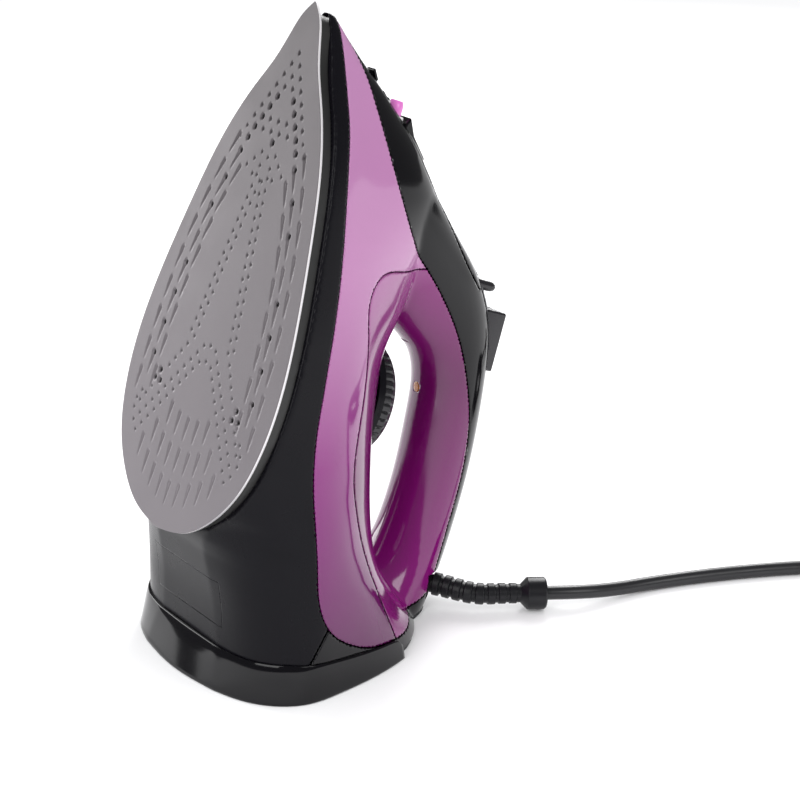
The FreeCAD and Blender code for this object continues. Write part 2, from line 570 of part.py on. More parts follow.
DOOR_HALF = 4.4
PIN_RADIUS = 0.8
tab_root = RIDGE_LOW + ridge_way * 5.0
tab = side_block([(p.x, p.z) for p in (tab_root - ridge_out, tab_root + ridge_out * 0.6,
                                       RIDGE_LOW + ridge_out * 2.4, RIDGE_LOW + ridge_out * 1.2)],
                 3.0)
door = body.common(door_prism(0.0)).common(Part.makeBox(60, 2 * DOOR_HALF, 60,
                                                        V(180, -DOOR_HALF, 20)))
door = joined([door, door_barrel(HINGE_RADIUS, DOOR_HALF), tab])
nodes["filler_door"] = door.cut(door_barrel(PIN_RADIUS + RUN_CLEARANCE, 20))
door_room = joined([door_prism(BODY_GAP), door_barrel(HINGE_RADIUS + 3 * BODY_GAP, 20)])
door_room = door_room.common(Part.makeBox(60, 2 * (DOOR_HALF + BODY_GAP), 60,
                                          V(180, -DOOR_HALF - BODY_GAP, 20)))
door_pin = door_barrel(PIN_RADIUS, DOOR_HALF + 1.6)
nodes["door_pin"] = door_pin

# buttons, lever, pod
def button_block(side, gap):
    middle = side * (BUTTON_WIDTH / 2 + BODY_GAP)
    base = BUTTON_BASE - (BUTTON_TRAVEL + gap if gap else 0.0)
    corners = [(BUTTON_FRONT + gap, base), (BUTTON_FRONT + gap, BUTTON_TOP - 1.6 + gap),
               (BUTTON_REAR - gap, BUTTON_TOP + gap), (BUTTON_REAR - gap, base)]
    return side_block(corners, BUTTON_WIDTH / 2 + gap, middle)


button_room = joined([button_block(s, BODY_GAP) for s in (-1, 1)])
button_room = button_room.fuse(side_block(
    [(BUTTON_FRONT, BUTTON_BASE), (BUTTON_FRONT, BUTTON_TOP), (BUTTON_REAR, BUTTON_TOP),
     (BUTTON_REAR, BUTTON_BASE)], 2.0))
arc = [Part.makeCylinder(r, 60, V(VALVE_X, 0, 104.5), V(0, 0, 1), 2 * (LEVER_SWING + 15))
       for r in (LEVER_ARM + 3.1, LEVER_ARM - 3.1)]
lever_slot = arc[0].cut(arc[1])
lever_slot.rotate(V(VALVE_X, 0, 0), V(0, 0, 1), 180 - LEVER_SWING - 15)
pod = handle_solid(-2.0).common(pod_zone).cut(handle_solid(WALL)).cut(body_solid(WALL))
pod = max(pod.Solids, key=lambda q: q.Volume)
nodes["control_pod"] = pod.cut(button_room).cut(lever_slot)
STRIP_SEAM = [(209, 42), (197, 56), (186, 68.5), (172, 84), (158, 98.5), (146, 110), (136, 122)]
strip_zone = side_prism(STRIP_SEAM, [(136, 230), (209, 230)])
cover = front.common(cover_zone).cut(pod_zone)
cover = cover.cut(joined([button_room, lever_slot, door_room])).cut(nozzle_bore).cut(door_pin)
cover = cover.cut(slot)
nodes["top_strip"] = cover.common(strip_zone)
nodes["handle_cover"] = cover.cut(strip_zone)
hood = side_block([(200.6, 62.6), (193.0, 67.2), (186.0, 75.2), (181.0, 70.0), (190.0, 60.5),
                   (197.5, 61.4)], 6.5)
nodes["nozzle_hood"] = hood.cut(envelope).cut(nozzle_bore)

PUMP_Y = BUTTON_WIDTH / 2 + BODY_GAP
SPRING_RADIUS, SPRING_WIRE, SPRING_TURNS = 3.8, 0.35, 4
SPRING_PITCH = (BUTTON_BASE - PUMP_TOP - 2 * SPRING_WIRE - 0.2) / SPRING_TURNS
for name, side in (("steam", 1), ("spray", -1)):
    y = side * PUMP_Y
    plunger = upright(PUMP_X, y, PUMP_TOP - 12.0, BUTTON_BASE, PLUNGER_RADIUS)
    nodes[name + "_button"] = button_block(side, 0.0)
    nodes[name + "_plunger"] = plunger
    pump = upright(PUMP_X, y, PUMP_TOP - PUMP_LENGTH, PUMP_TOP, PUMP_RADIUS)
    pump_bore = upright(PUMP_X, y, PUMP_TOP - PUMP_LENGTH + 2.0, PUMP_TOP + 1,
                        PLUNGER_RADIUS + RUN_CLEARANCE)
    nodes[name + "_pump"] = pump.cut(pump_bore)
    helix = Part.makeHelix(SPRING_PITCH, SPRING_TURNS * SPRING_PITCH, SPRING_RADIUS)
    wire_end = Part.Wire([Part.makeCircle(SPRING_WIRE, V(SPRING_RADIUS, 0, 0), V(0, 1, 0))])
    spring = Part.Wire(helix).makePipeShell([wire_end], True, True)
    spring.translate(V(PUMP_X, y, PUMP_TOP + SPRING_WIRE + 0.1))
    nodes[name + "_spring"] = spring

lever = [upright(VALVE_X, 0, 97.0, 103.0, 5.0),
         Part.makeBox(LEVER_ARM, 5.0, 6.0, V(VALVE_X - LEVER_ARM, -2.5, 97.0)),
         upright(VALVE_X - LEVER_ARM, 0, 97.0, LEVER_TOP - 2.5, 2.5),
         Part.makeSphere(2.5, V(VALVE_X - LEVER_ARM, 0, LEVER_TOP - 2.5))]
valve_rod = upright(VALVE_X, 0, CASTING_TOP, 103.0, ROD_RADIUS)
nodes["steam_lever"] = joined(lever).cut(valve_rod)
nodes["valve_rod"] = valve_rod

nodes["terminal_block"] = Part.makeBox(13, 30, 13, V(-42, 14, 60))
nodes["cord_clamp"] = Part.makeBox(10, 26, 10, V(-41, -42, 61))

# --- cord ------------------------------------------------------------------------------------
# route of the guard and of the cord to the coil, from below the soleplate tail
GUARD_ROUTE = [SWIVEL, V(137, -13.5, 12), V(152, -31, 9.3)]
CORD_ROUTE = [V(193, -53, 7.6), V(213, -55, 4.6), V(235, -57.5, 3.4), V(260, -65, 3.4),
              V(285, -74.5, 3.4), V(309, -86, 3.4), V(333, -100, 3.4), V(357, -113.1, 3.4),
              V(378.9, -122.9, 3.4)]
LEAD_ROUTE = [V(443, -70, 10.0), V(443, -51, 10.8), V(447, -31, 15), V(456, -13, 17.9),
              V(468, 3, 18.1)]
GUARD_REACH = 31.0         # last straight of the guard, up to the mouth of its bell


def rounded_path(points):
    """Straight runs joined by tangent arcs, each as large as its two runs allow."""
    edges, radii, start = [], [], points[0]
    for before, corner, after in zip(points, points[1:], points[2:]):
        back, ahead = before - corner, after - corner
        reach = 0.45 * min(back.Length, ahead.Length)
        back.normalize()
        ahead.normalize()
        half_turn = (math.pi - back.getAngle(ahead)) / 2
        radius = reach / math.tan(half_turn)
        radii.append(radius)
        middle = (back + ahead).normalize()
        crown = corner + middle * (radius / math.cos(half_turn) - radius)
        first, last = corner + back * reach, corner + ahead * reach
        edges.append(Part.LineSegment(start, first).toShape())
        edges.append(Part.Arc(first, crown, last).toShape())
        start = last
    edges.append(Part.LineSegment(start, points[-1]).toShape())
    return edges, radii


def tube(edges, radius):
    way = edges[0].tangentAt(edges[0].FirstParameter)
    mouth = Part.Wire([Part.makeCircle(radius, edges[0].valueAt(edges[0].FirstParameter), way)])
    return Part.Wire(edges).makePipeShell([mouth], True, False)


def along(edges, distance):
    """Place and direction at a distance along a path."""
    for edge in edges:
        if distance <= edge.Length:
            break
        distance -= edge.Length
    u = edge.getParameterByLength(min(distance, edge.Length))
    return edge.valueAt(u), edge.tangentAt(u)


def from_tail(points):
    return [level(q.x, q.y, q.z) for q in points]


def report_tube(name, solid, edges, radii):
    length = sum(e.Length for e in edges)
    ratio = solid.Volume / (math.pi * CORD_RADIUS ** 2 * length)
    print(name, "length %.1f, volume over section times length %.4f, radii" % (length, ratio),
          ["%.0f" % r for r in radii])


last_way = (CORD_ROUTE[0] - GUARD_ROUTE[-1]).normalize()
bell_mouth = GUARD_ROUTE[-1] + last_way * GUARD_REACH
guard_path, guard_radii = rounded_path(from_tail(GUARD_ROUTE + [bell_mouth]))
guard_length = sum(e.Length for e in guard_path)
hub = level(SWIVEL.x, SWIVEL.y, 0)
drum_half = SLOT_HEIGHT / 2 - 0.5
guard = [Part.makeCylinder(SWIVEL_DRUM, 2 * drum_half, hub + V(0, 0, SWIVEL.z - drum_half)),
         Part.makeCylinder(PIVOT_RADIUS, cup_high - cup_low, hub + V(0, 0, cup_low)),
         tube(guard_path, GUARD_CORE)]
for k in range(GUARD_RIBS):
    place, way = along(guard_path, GUARD_START + k * GUARD_PITCH)
    guard.append(Part.makeCylinder(GUARD_RIB - 0.09 * k, 3.6, place, way))
neck_place, neck_way = along(guard_path, guard_length - BELL_LENGTH - 3.0)
bell_place, bell_way = along(guard_path, guard_length - BELL_LENGTH)
guard += [Part.makeCone(GUARD_CORE, BELL_RADIUS, 3.2, neck_place, neck_way),
          Part.makeCylinder(BELL_RADIUS, BELL_LENGTH, bell_place, bell_way)]
cord_nodes = {"cord_guard": joined(guard)}

cord_path, cord_radii = rounded_path(from_tail([bell_mouth] + CORD_ROUTE))
cord_nodes["mains_cord"] = tube(cord_path, CORD_RADIUS)
lead_path, lead_radii = rounded_path(from_tail(LEAD_ROUTE))
cord_nodes["plug_lead"] = tube(lead_path, CORD_RADIUS)
report_tube("guard radii", cord_nodes["mains_cord"], cord_path, guard_radii)
report_tube("mains_cord", cord_nodes["mains_cord"], cord_path, cord_radii)
report_tube("plug_lead", cord_nodes["plug_lead"], lead_path, lead_radii)


def notch(end, way, inner, height):
    """Room at the coil's edge for a cord that meets it at end and lies along way from there."""
    box = Part.makeBox(60, 30 + inner, height, V(0, -30, 0))
    box.Placement = FreeCAD.Placement(end + V(0, 0, -CORD_RADIUS - 0.3),
                                      FreeCAD.Rotation(V(1, 0, 0), V(way.x, way.y, 0)))
    return box


coil_base = level(COIL_CENTRE.x, COIL_CENTRE.y, 0)
coil = Part.makeCylinder(COIL_OUTER, COIL_HEIGHT, coil_base)
coil = coil.cut(Part.makeCylinder(COIL_INNER, 3 * COIL_HEIGHT, coil_base - V(0, 0, COIL_HEIGHT)))
coil = coil.makeFillet(3.0, [e for e in coil.Edges if e.Length > 100 and e.BoundBox.ZLength < 1])
arrival = from_tail(CORD_ROUTE[-2:])
departure = from_tail(LEAD_ROUTE[:2])
coil = coil.cut(notch(arrival[1], arrival[0] - arrival[1], CORD_RADIUS + 0.3,
                      2 * CORD_RADIUS + 0.6).mirror(arrival[1], V(0, 0, 1).cross(
                          arrival[0] - arrival[1]).normalize()))
coil = coil.cut(notch(departure[0], departure[1] - departure[0], CORD_RADIUS + 0.3, 30))
TIE_WIDTH, TIE_THICK = 12.0, 1.0
tie_box = Part.makeBox(TIE_WIDTH, COIL_OUTER - COIL_INNER + 2 * TIE_THICK,
                       COIL_HEIGHT + TIE_THICK,
                       coil_base + V(-TIE_WIDTH / 2, COIL_INNER - TIE_THICK, 0))
tie_hole = Part.makeBox(TIE_WIDTH + 2, COIL_OUTER - COIL_INNER - 1.0, COIL_HEIGHT - TIE_THICK,
                        coil_base + V(-TIE_WIDTH / 2 - 1, COIL_INNER + 0.5, TIE_THICK))
cord_nodes["coil_tie"] = tie_box.cut(tie_hole)
cord_nodes["cord_coil"] = coil.cut(cord_nodes["coil_tie"])

# plug lying on its rim: body, strain relief and two round pins
plug_start, plug_way = along(lead_path, 1000.0)
RELIEF_LENGTH, PLUG_DEPTH, PIN_LENGTH, PIN_SPREAD = 26.0, 24.0, 19.0, 9.5
face = plug_start + plug_way * (RELIEF_LENGTH + PLUG_DEPTH)
cord_nodes["plug_body"] = joined([
    Part.makeCone(4.6, 8.5, RELIEF_LENGTH, plug_start, plug_way),
    Part.makeCone(9.5, PLUG_RADIUS, 7.0, plug_start + plug_way * (RELIEF_LENGTH - 1), plug_way),
    Part.makeCylinder(PLUG_RADIUS, PLUG_DEPTH - 6.0, plug_start + plug_way * (RELIEF_LENGTH + 6),
                      plug_way)])
across = V(-plug_way.y, plug_way.x, 0).normalize()
cord_nodes["plug_pins"] = group([
    Part.makeCylinder(2.4, PIN_LENGTH, face + across * (s * PIN_SPREAD), plug_way)
    for s in (-1, 1)])

# --- files -------------------------------------------------------------------------------------
os.makedirs("parts", exist_ok=True)
for name, shape in nodes.items():
    stand_up(shape).exportStep("parts/" + name + ".step")
for name, shape in cord_nodes.items():
    shape.exportStep("parts/" + name + ".step")
print(len(nodes) + len(cord_nodes), "sub-parts")
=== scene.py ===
"""Steam iron standing on its heel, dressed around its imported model. Metres, +Z up.

Shapes of the moulded body are worked out lying on the soleplate, in millimetres: x forward from the
soleplate's tail, y to the left, z up from the pressing face. stand() puts them where the iron stands.
"""
import math

import bmesh
import bpy
import numpy as np
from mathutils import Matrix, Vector


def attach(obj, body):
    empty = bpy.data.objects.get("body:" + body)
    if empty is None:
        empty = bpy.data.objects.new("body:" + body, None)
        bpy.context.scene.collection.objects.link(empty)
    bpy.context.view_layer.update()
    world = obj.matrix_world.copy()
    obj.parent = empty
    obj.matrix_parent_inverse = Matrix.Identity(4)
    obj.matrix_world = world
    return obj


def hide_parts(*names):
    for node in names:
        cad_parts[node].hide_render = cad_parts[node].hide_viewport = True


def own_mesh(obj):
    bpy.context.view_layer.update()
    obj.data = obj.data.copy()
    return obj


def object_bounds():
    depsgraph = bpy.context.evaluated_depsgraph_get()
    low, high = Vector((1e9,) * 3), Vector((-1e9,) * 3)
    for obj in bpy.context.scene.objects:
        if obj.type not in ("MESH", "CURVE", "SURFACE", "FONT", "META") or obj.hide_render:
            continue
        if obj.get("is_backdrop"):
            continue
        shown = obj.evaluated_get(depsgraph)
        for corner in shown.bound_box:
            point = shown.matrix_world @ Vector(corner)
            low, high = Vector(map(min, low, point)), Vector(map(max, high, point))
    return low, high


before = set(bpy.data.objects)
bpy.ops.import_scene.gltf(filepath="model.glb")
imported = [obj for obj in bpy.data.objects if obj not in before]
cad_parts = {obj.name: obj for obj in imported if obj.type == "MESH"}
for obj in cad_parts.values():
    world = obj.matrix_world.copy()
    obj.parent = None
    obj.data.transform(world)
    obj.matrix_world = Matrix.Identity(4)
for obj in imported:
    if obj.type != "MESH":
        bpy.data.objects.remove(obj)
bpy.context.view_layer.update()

# --- moulded body -------------------------------------------------------------------------------
# The housing, tank and handle are injection moulded shells that meet along drawn seams. They are
# made here as one smooth form with soft fillets, which the seams then divide.
LEAN = math.radians(21.2)
TAIL_HEIGHT, HEEL_AHEAD = 69.0, 62.0


def stand(points):
    """Points in the lying frame, in mm, to where the iron stands, in metres."""
    p = np.asarray(points, dtype=float)
    s, c = math.sin(LEAN), math.cos(LEAN)
    x = p[:, 0] * s + p[:, 2] * c - HEEL_AHEAD
    z = p[:, 0] * c - p[:, 2] * s + TAIL_HEIGHT
    return np.column_stack((x, -p[:, 1], z)) / 1000


def lie(points):
    """The opposite: from the scene, in metres, to the lying frame, in mm."""
    p = np.asarray(points, dtype=float) * 1000
    s, c = math.sin(LEAN), math.cos(LEAN)
    x, z = p[:, 0] + HEEL_AHEAD, p[:, 2] - TAIL_HEIGHT
    return np.column_stack((x * s + z * c, -p[:, 1], x * c - z * s))


def curve_through(points, count, closed=False):
    """Evenly spread points on a smooth cubic curve through the given ones."""
    p = np.array(points, dtype=float)
    if closed:
        p = np.vstack((p[-3:], p, p[:4]))
    t = np.concatenate(([0], np.cumsum(np.linalg.norm(np.diff(p, axis=0), axis=1))))
    h = np.diff(t)
    n = len(p)
    a = np.zeros((n, n))
    b = np.zeros_like(p)
    a[0, 0] = a[-1, -1] = 1
    for i in range(1, n - 1):
        a[i, i - 1:i + 2] = h[i - 1], 2 * (h[i - 1] + h[i]), h[i]
        b[i] = 3 * ((p[i + 1] - p[i]) / h[i] - (p[i] - p[i - 1]) / h[i - 1])
    c = np.linalg.solve(a, b)
    first, last = (t[3], t[-4]) if closed else (t[0], t[-1])
    u = np.linspace(first, last, count, endpoint=not closed)
    i = np.clip(np.searchsorted(t, u, side="right") - 1, 0, n - 2)
    d = (u - t[i])[:, None]
    slope = (p[i + 1] - p[i]) / h[i, None] - h[i, None] * (2 * c[i] + c[i + 1]) / 3
    return p[i] + slope * d + c[i] * d ** 2 + (c[i + 1] - c[i]) / (3 * h[i, None]) * d ** 3


def mesh_object(name, points, faces, smooth=True):
    """A mesh object from points in metres."""
    mesh = bpy.data.meshes.new(name)
    mesh.from_pydata([tuple(q) for q in points], [], [tuple(f) for f in faces])
    work = bmesh.new()
    work.from_mesh(mesh)
    bmesh.ops.recalc_face_normals(work, faces=work.faces)
    work.to_mesh(mesh)
    work.free()
    if smooth:
        mesh.shade_smooth()
    else:
        mesh.shade_flat()
    piece = bpy.data.objects.new(name, mesh)
    bpy.context.scene.collection.objects.link(piece)
    return piece


def skin_rings(rings):
    """Points and faces of a closed skin over rings of equal length, with flat ends."""
    count = len(rings[0])
    faces = []
    for r in range(len(rings) - 1):
        for k in range(count):
            j = (k + 1) % count
            faces.append((r * count + k, r * count + j, (r + 1) * count + j, (r + 1) * count + k))
    faces.append(tuple(range(count))[::-1])
    faces.append(tuple((len(rings) - 1) * count + k for k in range(count)))
    return np.vstack(rings), faces


def settle(piece, *modifiers):
    """Runs modifiers on a piece, given as (type, values), and keeps the result as its mesh."""
    for kind, values in modifiers:
        modifier = piece.modifiers.new(kind.lower(), kind)
        for key, value in values.items():
            setattr(modifier, key, value)
    graph = bpy.context.evaluated_depsgraph_get()
    mesh = bpy.data.meshes.new_from_object(piece.evaluated_get(graph))
    piece.modifiers.clear()
    piece.data = mesh
    return piece


def drop(*pieces):
    for piece in pieces:
        bpy.data.objects.remove(piece)


def cut(piece, tool, how="DIFFERENCE"):
    return settle(piece, ("BOOLEAN", {"object": tool, "operation": how, "solver": "MANIFOLD"}))


def copy_of(piece, name):
    twin = piece.copy()
    twin.data = piece.data.copy()
    twin.name = name
    bpy.context.scene.collection.objects.link(twin)
    return twin


STATIONS = [
    (232, 7.0, 3.4, [(3.4, 7.8), (3.1, 8.6), (2.6, 9.3), (2.0, 9.9), (1.3, 10.4), (.6, 10.8)], 11.0),
    (220, 7.0, 10.9, [(10.6, 11), (9.7, 15), (8.4, 18.5), (6.8, 21.4), (4.9, 24.0), (2.6, 26.2)], 27.4),
    (205, 7.0, 19.6, [(18.8, 14), (16.4, 22), (14.0, 30), (11.8, 37), (9.2, 43), (5.6, 47.4)], 50.0),
    (185, 7.0, 32.3, [(30.8, 15), (27.0, 27), (23.6, 38), (20.6, 49), (16.8, 60), (10.8, 70)], 76.0),
    (160, 7.0, 42.3, [(39.8, 17), (35.5, 30), (31.5, 42), (27.0, 56), (21.5, 72), (12.6, 87)], 96.0),
    (122, 7.0, 52.2, [(49.8, 20), (46.5, 32), (42.0, 44), (35.0, 58), (26.0, 72), (13.5, 83)], 87.5),
    (98, 7.0, 57.2, [(54.8, 21), (51.5, 34), (46.5, 46), (38.5, 58), (28.0, 69), (14.5, 76)], 78.5),
    (74, 7.0, 59.3, [(57.8, 22), (55.0, 37), (49.8, 49), (41.5, 61), (30.0, 72), (15.5, 79)], 81.5),
    (47, 7.0, 57.0, [(58.3, 24), (56.5, 40), (51.5, 54), (43.5, 67), (31.5, 79), (16.0, 86.5)], 89.0),
    (22, 7.0, 45.5, [(54.5, 22), (58.8, 40), (55.5, 58), (47.0, 73), (34.0, 87), (17.5, 95.5)], 99.0),
    (8, 7.0, 28.0, [(43.5, 16), (58.5, 38), (58.0, 58), (50.5, 77), (37.5, 93), (19.5, 102)], 106.0),
    (-4, 14.0, 21.0, [(42, 21), (58.7, 41), (59.0, 62), (53.0, 83), (41.5, 101), (23.0, 114)], 120.0),
    (-25, 25.5, 22.0, [(43, 30), (60.0, 47), (60.2, 68), (55.5, 91), (46.5, 115), (26.5, 138)], 150.0),
    (-50, 35.2, 25.0, [(45, 40), (61.0, 57), (61.0, 76), (57.0, 96), (48.0, 119), (28.0, 142)], 153.0),
    (-84, 48.0, 28.0, [(47, 53), (62.0, 70), (62.0, 88), (58.0, 107), (49.0, 130), (29.0, 152)], 161.0),
]
STATION_TABLE = np.array([[s[0], s[1], s[2], s[4]] + [v for q in s[3] for v in q]
                          for s in STATIONS])


def eased(x):
    """The station values at x: a smooth change from one to the next with no overshoot."""
    xs, rows = STATION_TABLE[:, 0], STATION_TABLE
    i = max(k for k in range(len(xs) - 1) if x <= xs[k])
    steps = np.diff(xs)[:, None]
    slopes = np.diff(rows, axis=0) / steps

    def tangent(k):
        if k in (0, len(xs) - 1):
            return slopes[min(k, len(slopes) - 1)]
        a, b = slopes[k - 1], slopes[k]
        both = np.where(a + b == 0, 1, a + b)
        return np.where(a * b <= 0, 0, 2 * a * b / both)

    t = (x - xs[i]) / steps[i, 0]
    return ((1 + 2 * t) * (1 - t) ** 2 * rows[i] + t * (1 - t) ** 2 * steps[i] * tangent(i)
            + t * t * (3 - 2 * t) * rows[i + 1] + t * t * (t - 1) * steps[i] * tangent(i + 1))


def body_ring(x):
    row = eased(x)
    half = [(row[2], row[1])] + [(row[4 + 2 * k], row[5 + 2 * k]) for k in range(6)]
    line = half + [(0.0, row[3])] + [(-y, z) for y, z in reversed(half)]
    line = curve_through(line, 96)
    return np.column_stack((np.full(len(line), x), line[:, 0], line[:, 1]))


HANDLE = [
    (184, 40, 20.0, 19.0), (157, 67, 25.0, 21.0), (135, 95, 25.0, 19.5), (116, 119, 22.0, 17.5),
    (94, 130, 18.0, 16.5), (72, 134.5, 17.6, 16.5), (48, 137.5, 17.6, 16.5),
    (24, 138.3, 17.6, 16.8), (3, 136.5, 18.5, 18.5), (-18, 129, 22.5, 23.0), (-45, 114, 30.0, 30.0),
    (-80, 98, 36.0, 36.0),
]


def handle_rings():
    line = curve_through(HANDLE, 90)
    way = np.gradient(line[:, :2], axis=0)
    way /= np.linalg.norm(way, axis=1)[:, None]
    rings = []
    for (x, z, deep, wide), (dx, dz) in zip(line, way):
        a = np.linspace(0, 2 * math.pi, 72, endpoint=False)
        p, q = deep * np.cos(a), wide * np.sin(a)
        rings.append(np.column_stack((x - dz * p, q, z + dx * p)))
    return rings


body_points, body_faces = skin_rings([body_ring(x) for x in np.linspace(232, -84, 90)])
loop_points, loop_faces = skin_rings(handle_rings())
form = mesh_object("form", stand(body_points), body_faces)
loop = mesh_object("loop", stand(loop_points), loop_faces)
form = cut(form, loop, "UNION")
drop(loop)
VOXEL = 0.0009
settle(form, ("REMESH", {"mode": "VOXEL", "voxel_size": VOXEL, "use_smooth_shade": True}),
       ("SMOOTH", {"factor": 0.5, "iterations": 14}))
WALL = 0.0024
solid = copy_of(form, "solid")
inner_form = copy_of(form, "inner_form")
settle(inner_form, ("DISPLACE", {"mid_level": 0.0, "strength": -WALL}),
       ("REMESH", {"mode": "VOXEL", "voxel_size": 0.0014, "use_smooth_shade": True}))


def block(low, high):
    """A box from its two corners, in metres."""
    (x0, y0, z0), (x1, y1, z1) = low, high
    points = [(x, y, z) for x in (x0, x1) for y in (y0, y1) for z in (z0, z1)]
    faces = [(0, 1, 3, 2), (4, 6, 7, 5), (0, 4, 5, 1), (2, 3, 7, 6), (0, 2, 6, 4), (1, 5, 7, 3)]
    return mesh_object("block", points, faces, smooth=False)


below_floor = block((-0.4, -0.3, -0.3), (0.4, 0.3, 0.0022))
shell = cut(form, inner_form)
cut(shell, below_floor)

# seams between the mouldings, in the side view
SEAM_GAP = 0.22
SKIRT_SEAM = [(245, 10.5), (224, 12.8), (205, 15.2), (185, 16), (160, 17.5), (125, 20.5), (91, 22),
              (70, 24), (50, 28.5), (30, 36), (8, 45), (-9, 52), (-19, 61), (-24, 74), (-25.2, 90),
              (-22.6, 104), (-19, 118), (-13.5, 133), (-6, 146), (4, 158), (14, 172)]
COVER_SEAM = [(242, 4), (228, 17), (206, 33), (189, 41), (175, 49.5), (160, 60.5), (147.5, 72.5),
              (138, 86), (129, 98), (119.5, 109), (106, 121), (90, 131), (75, 138), (50, 144),
              (26, 145.3), (0, 145.6), (-20, 145.2), (-45, 145)]
DECK_SEAM = [(150, 104), (140, 86), (136, 64), (132, 48), (122, 42.5), (108, 45.5), (85, 51),
             (64, 53), (46, 57), (29, 66), (10, 80), (-8, 95), (-24, 109), (-45, 125)]
REAR_SEAM = [(-8, 64), (-21, 59), (-35, 55.5), (-60, 49.5), (-95, 41)]
POD_SEAM = [(158, 108), (147, 119), (138, 124), (126, 132), (110, 140), (95, 146.5), (80, 150.5),
            (66, 154.5), (50, 160)]
STRIP_SEAM = [(209, 42), (197, 56), (186, 68.5), (172, 84), (158, 98.5), (146, 110), (136, 122)]
CORNERS = {"skirt": (SKIRT_SEAM, [(14, 220), (-150, 220), (-150, -40), (245, -40)]),
           "cover": (COVER_SEAM, [(-45, 230), (242, 230)]),
           "deck": (DECK_SEAM, [(-90, 125), (-90, 230), (150, 230)]),
           "rear": (REAR_SEAM, [(-95, 240), (60, 240), (60, 64)]),
           "pod": (POD_SEAM, [(50, 230), (158, 230)]),
           "strip": (STRIP_SEAM, [(136, 230), (209, 230)])}
SEAM_LINES = {key: curve_through(line, 160) for key, (line, rest) in CORNERS.items()}


def zone(key, grow):
    """A block across the iron on one side of a seam, with the seam moved outwards by grow."""
    line = SEAM_LINES[key]
    way = np.gradient(line, axis=0)
    way /= np.linalg.norm(way, axis=1)[:, None]
    rest = np.array(CORNERS[key][1], dtype=float)
    side = np.column_stack((way[:, 1], -way[:, 0]))
    inside = np.mean(rest, axis=0) - np.mean(line, axis=0)
    side *= -np.sign(np.sum(side.mean(axis=0) * inside))
    outline = np.vstack((line + side * grow, rest))
    count = len(outline)
    points = [(x, y, z) for y in (-90, 90) for x, z in outline]
    faces = [tuple(range(count)), tuple(range(count, 2 * count))]
    faces += [(k, (k + 1) % count, count + (k + 1) % count, count + k) for k in range(count)]
    return mesh_object("zone", stand(points), faces, smooth=False)


def round_edges(piece, keys, radius=0.8):
    """Rolls the outer surface inwards beside the seams, as a moulded edge is."""
    mesh = piece.data
    count = len(mesh.vertices)
    co = np.empty(count * 3)
    mesh.vertices.foreach_get("co", co)
    no = np.empty(count * 3)
    mesh.vertices.foreach_get("normal", no)
    co, no = co.reshape(-1, 3), no.reshape(-1, 3)
    flat = lie(co)[:, [0, 2]]
    near = np.full(count, 1e9)
    for key in keys:
        line = SEAM_LINES[key]
        for start in range(0, count, 20000):
            part = flat[start:start + 20000]
            gap = np.sqrt(((part[:, None, :] - line[None]) ** 2).sum(axis=2)).min(axis=1)
            near[start:start + 20000] = np.minimum(near[start:start + 20000], gap)
    inside = np.clip(radius + SEAM_GAP - near, 0, radius)
    roll = radius - np.sqrt(radius ** 2 - inside ** 2)
    co -= no * (roll * 0.6 / 1000)[:, None]
    mesh.vertices.foreach_set("co", co.ravel())
    mesh.update()


def moulding(name, inside=(), outside=()):
    """The part of the shell inside some zones and outside others."""
    piece = copy_of(shell, name)
    for keys, how, grow in ((inside, "INTERSECT", -SEAM_GAP), (outside, "DIFFERENCE", SEAM_GAP)):
        for key in keys:
            tool = zone(key, grow)
            cut(piece, tool, how)
            drop(tool)
    return piece


tank = moulding("tank", outside=("skirt", "cover", "deck"))
deck = moulding("handle_deck", inside=("deck",), outside=("cover", "skirt"))
cover = moulding("side_cover", inside=("cover",), outside=("pod", "strip", "skirt"))
strip = moulding("ridge_strip", inside=("cover", "strip"), outside=("pod",))
pod = moulding("pod", inside=("pod",))
skirt = moulding("skirt", inside=("skirt",), outside=("rear",))
rear = moulding("rear", inside=("skirt", "rear"))

# openings in the mouldings: soleplate recess, dial pocket, cord slot, buttons, lever, nozzle, door
SOLE_SHAPE = [(1.0, 0.0), (0.974, 0.104), (0.936, 0.183), (0.885, 0.279), (0.830, 0.424),
              (0.723, 0.649), (0.583, 0.818), (0.455, 0.934), (0.319, 1.0), (0.213, 0.963),
              (0.128, 0.840), (0.064, 0.632), (0.0213, 0.378), (0.0, 0.0)]
SOLE_LENGTH, SOLE_HALF = 235.0, 59.5
half_sole = [(x * SOLE_LENGTH, y * SOLE_HALF) for x, y in SOLE_SHAPE]
sole_line = curve_through(half_sole + [(x, -y) for x, y in half_sole[-2:0:-1]], 400, closed=True)


def prism(outline, z0, z1, smooth=False):
    """A plate of an outline in the lying frame, between two heights."""
    low = np.column_stack((outline, np.full(len(outline), z0)))
    high = np.column_stack((outline, np.full(len(outline), z1)))
    points, faces = skin_rings([low, high])
    return mesh_object("prism", stand(points), faces, smooth)


def disc_line(x, y, radius, count=96):
    a = np.linspace(0, 2 * math.pi, count, endpoint=False)
    return np.column_stack((x + radius * np.cos(a), y + radius * np.sin(a)))


def side_block(outline, half_width, centre=0.0):
    """A block across the iron, of a sharp outline in the side view."""
    rings = [np.array([(x, centre + y, z) for x, z in outline])
             for y in (-half_width, half_width)]
    points, faces = skin_rings(rings)
    return mesh_object("block", stand(points), faces, smooth=False)


def inset_outline(line, distance):
    way = np.roll(line, -1, axis=0) - np.roll(line, 1, axis=0)
    way /= np.linalg.norm(way, axis=1)[:, None]
    side = np.column_stack((-way[:, 1], way[:, 0]))
    side *= np.sign(np.sum(side * (np.array([[110.0, 0.0]]) - line), axis=1).mean())
    return line + side * distance


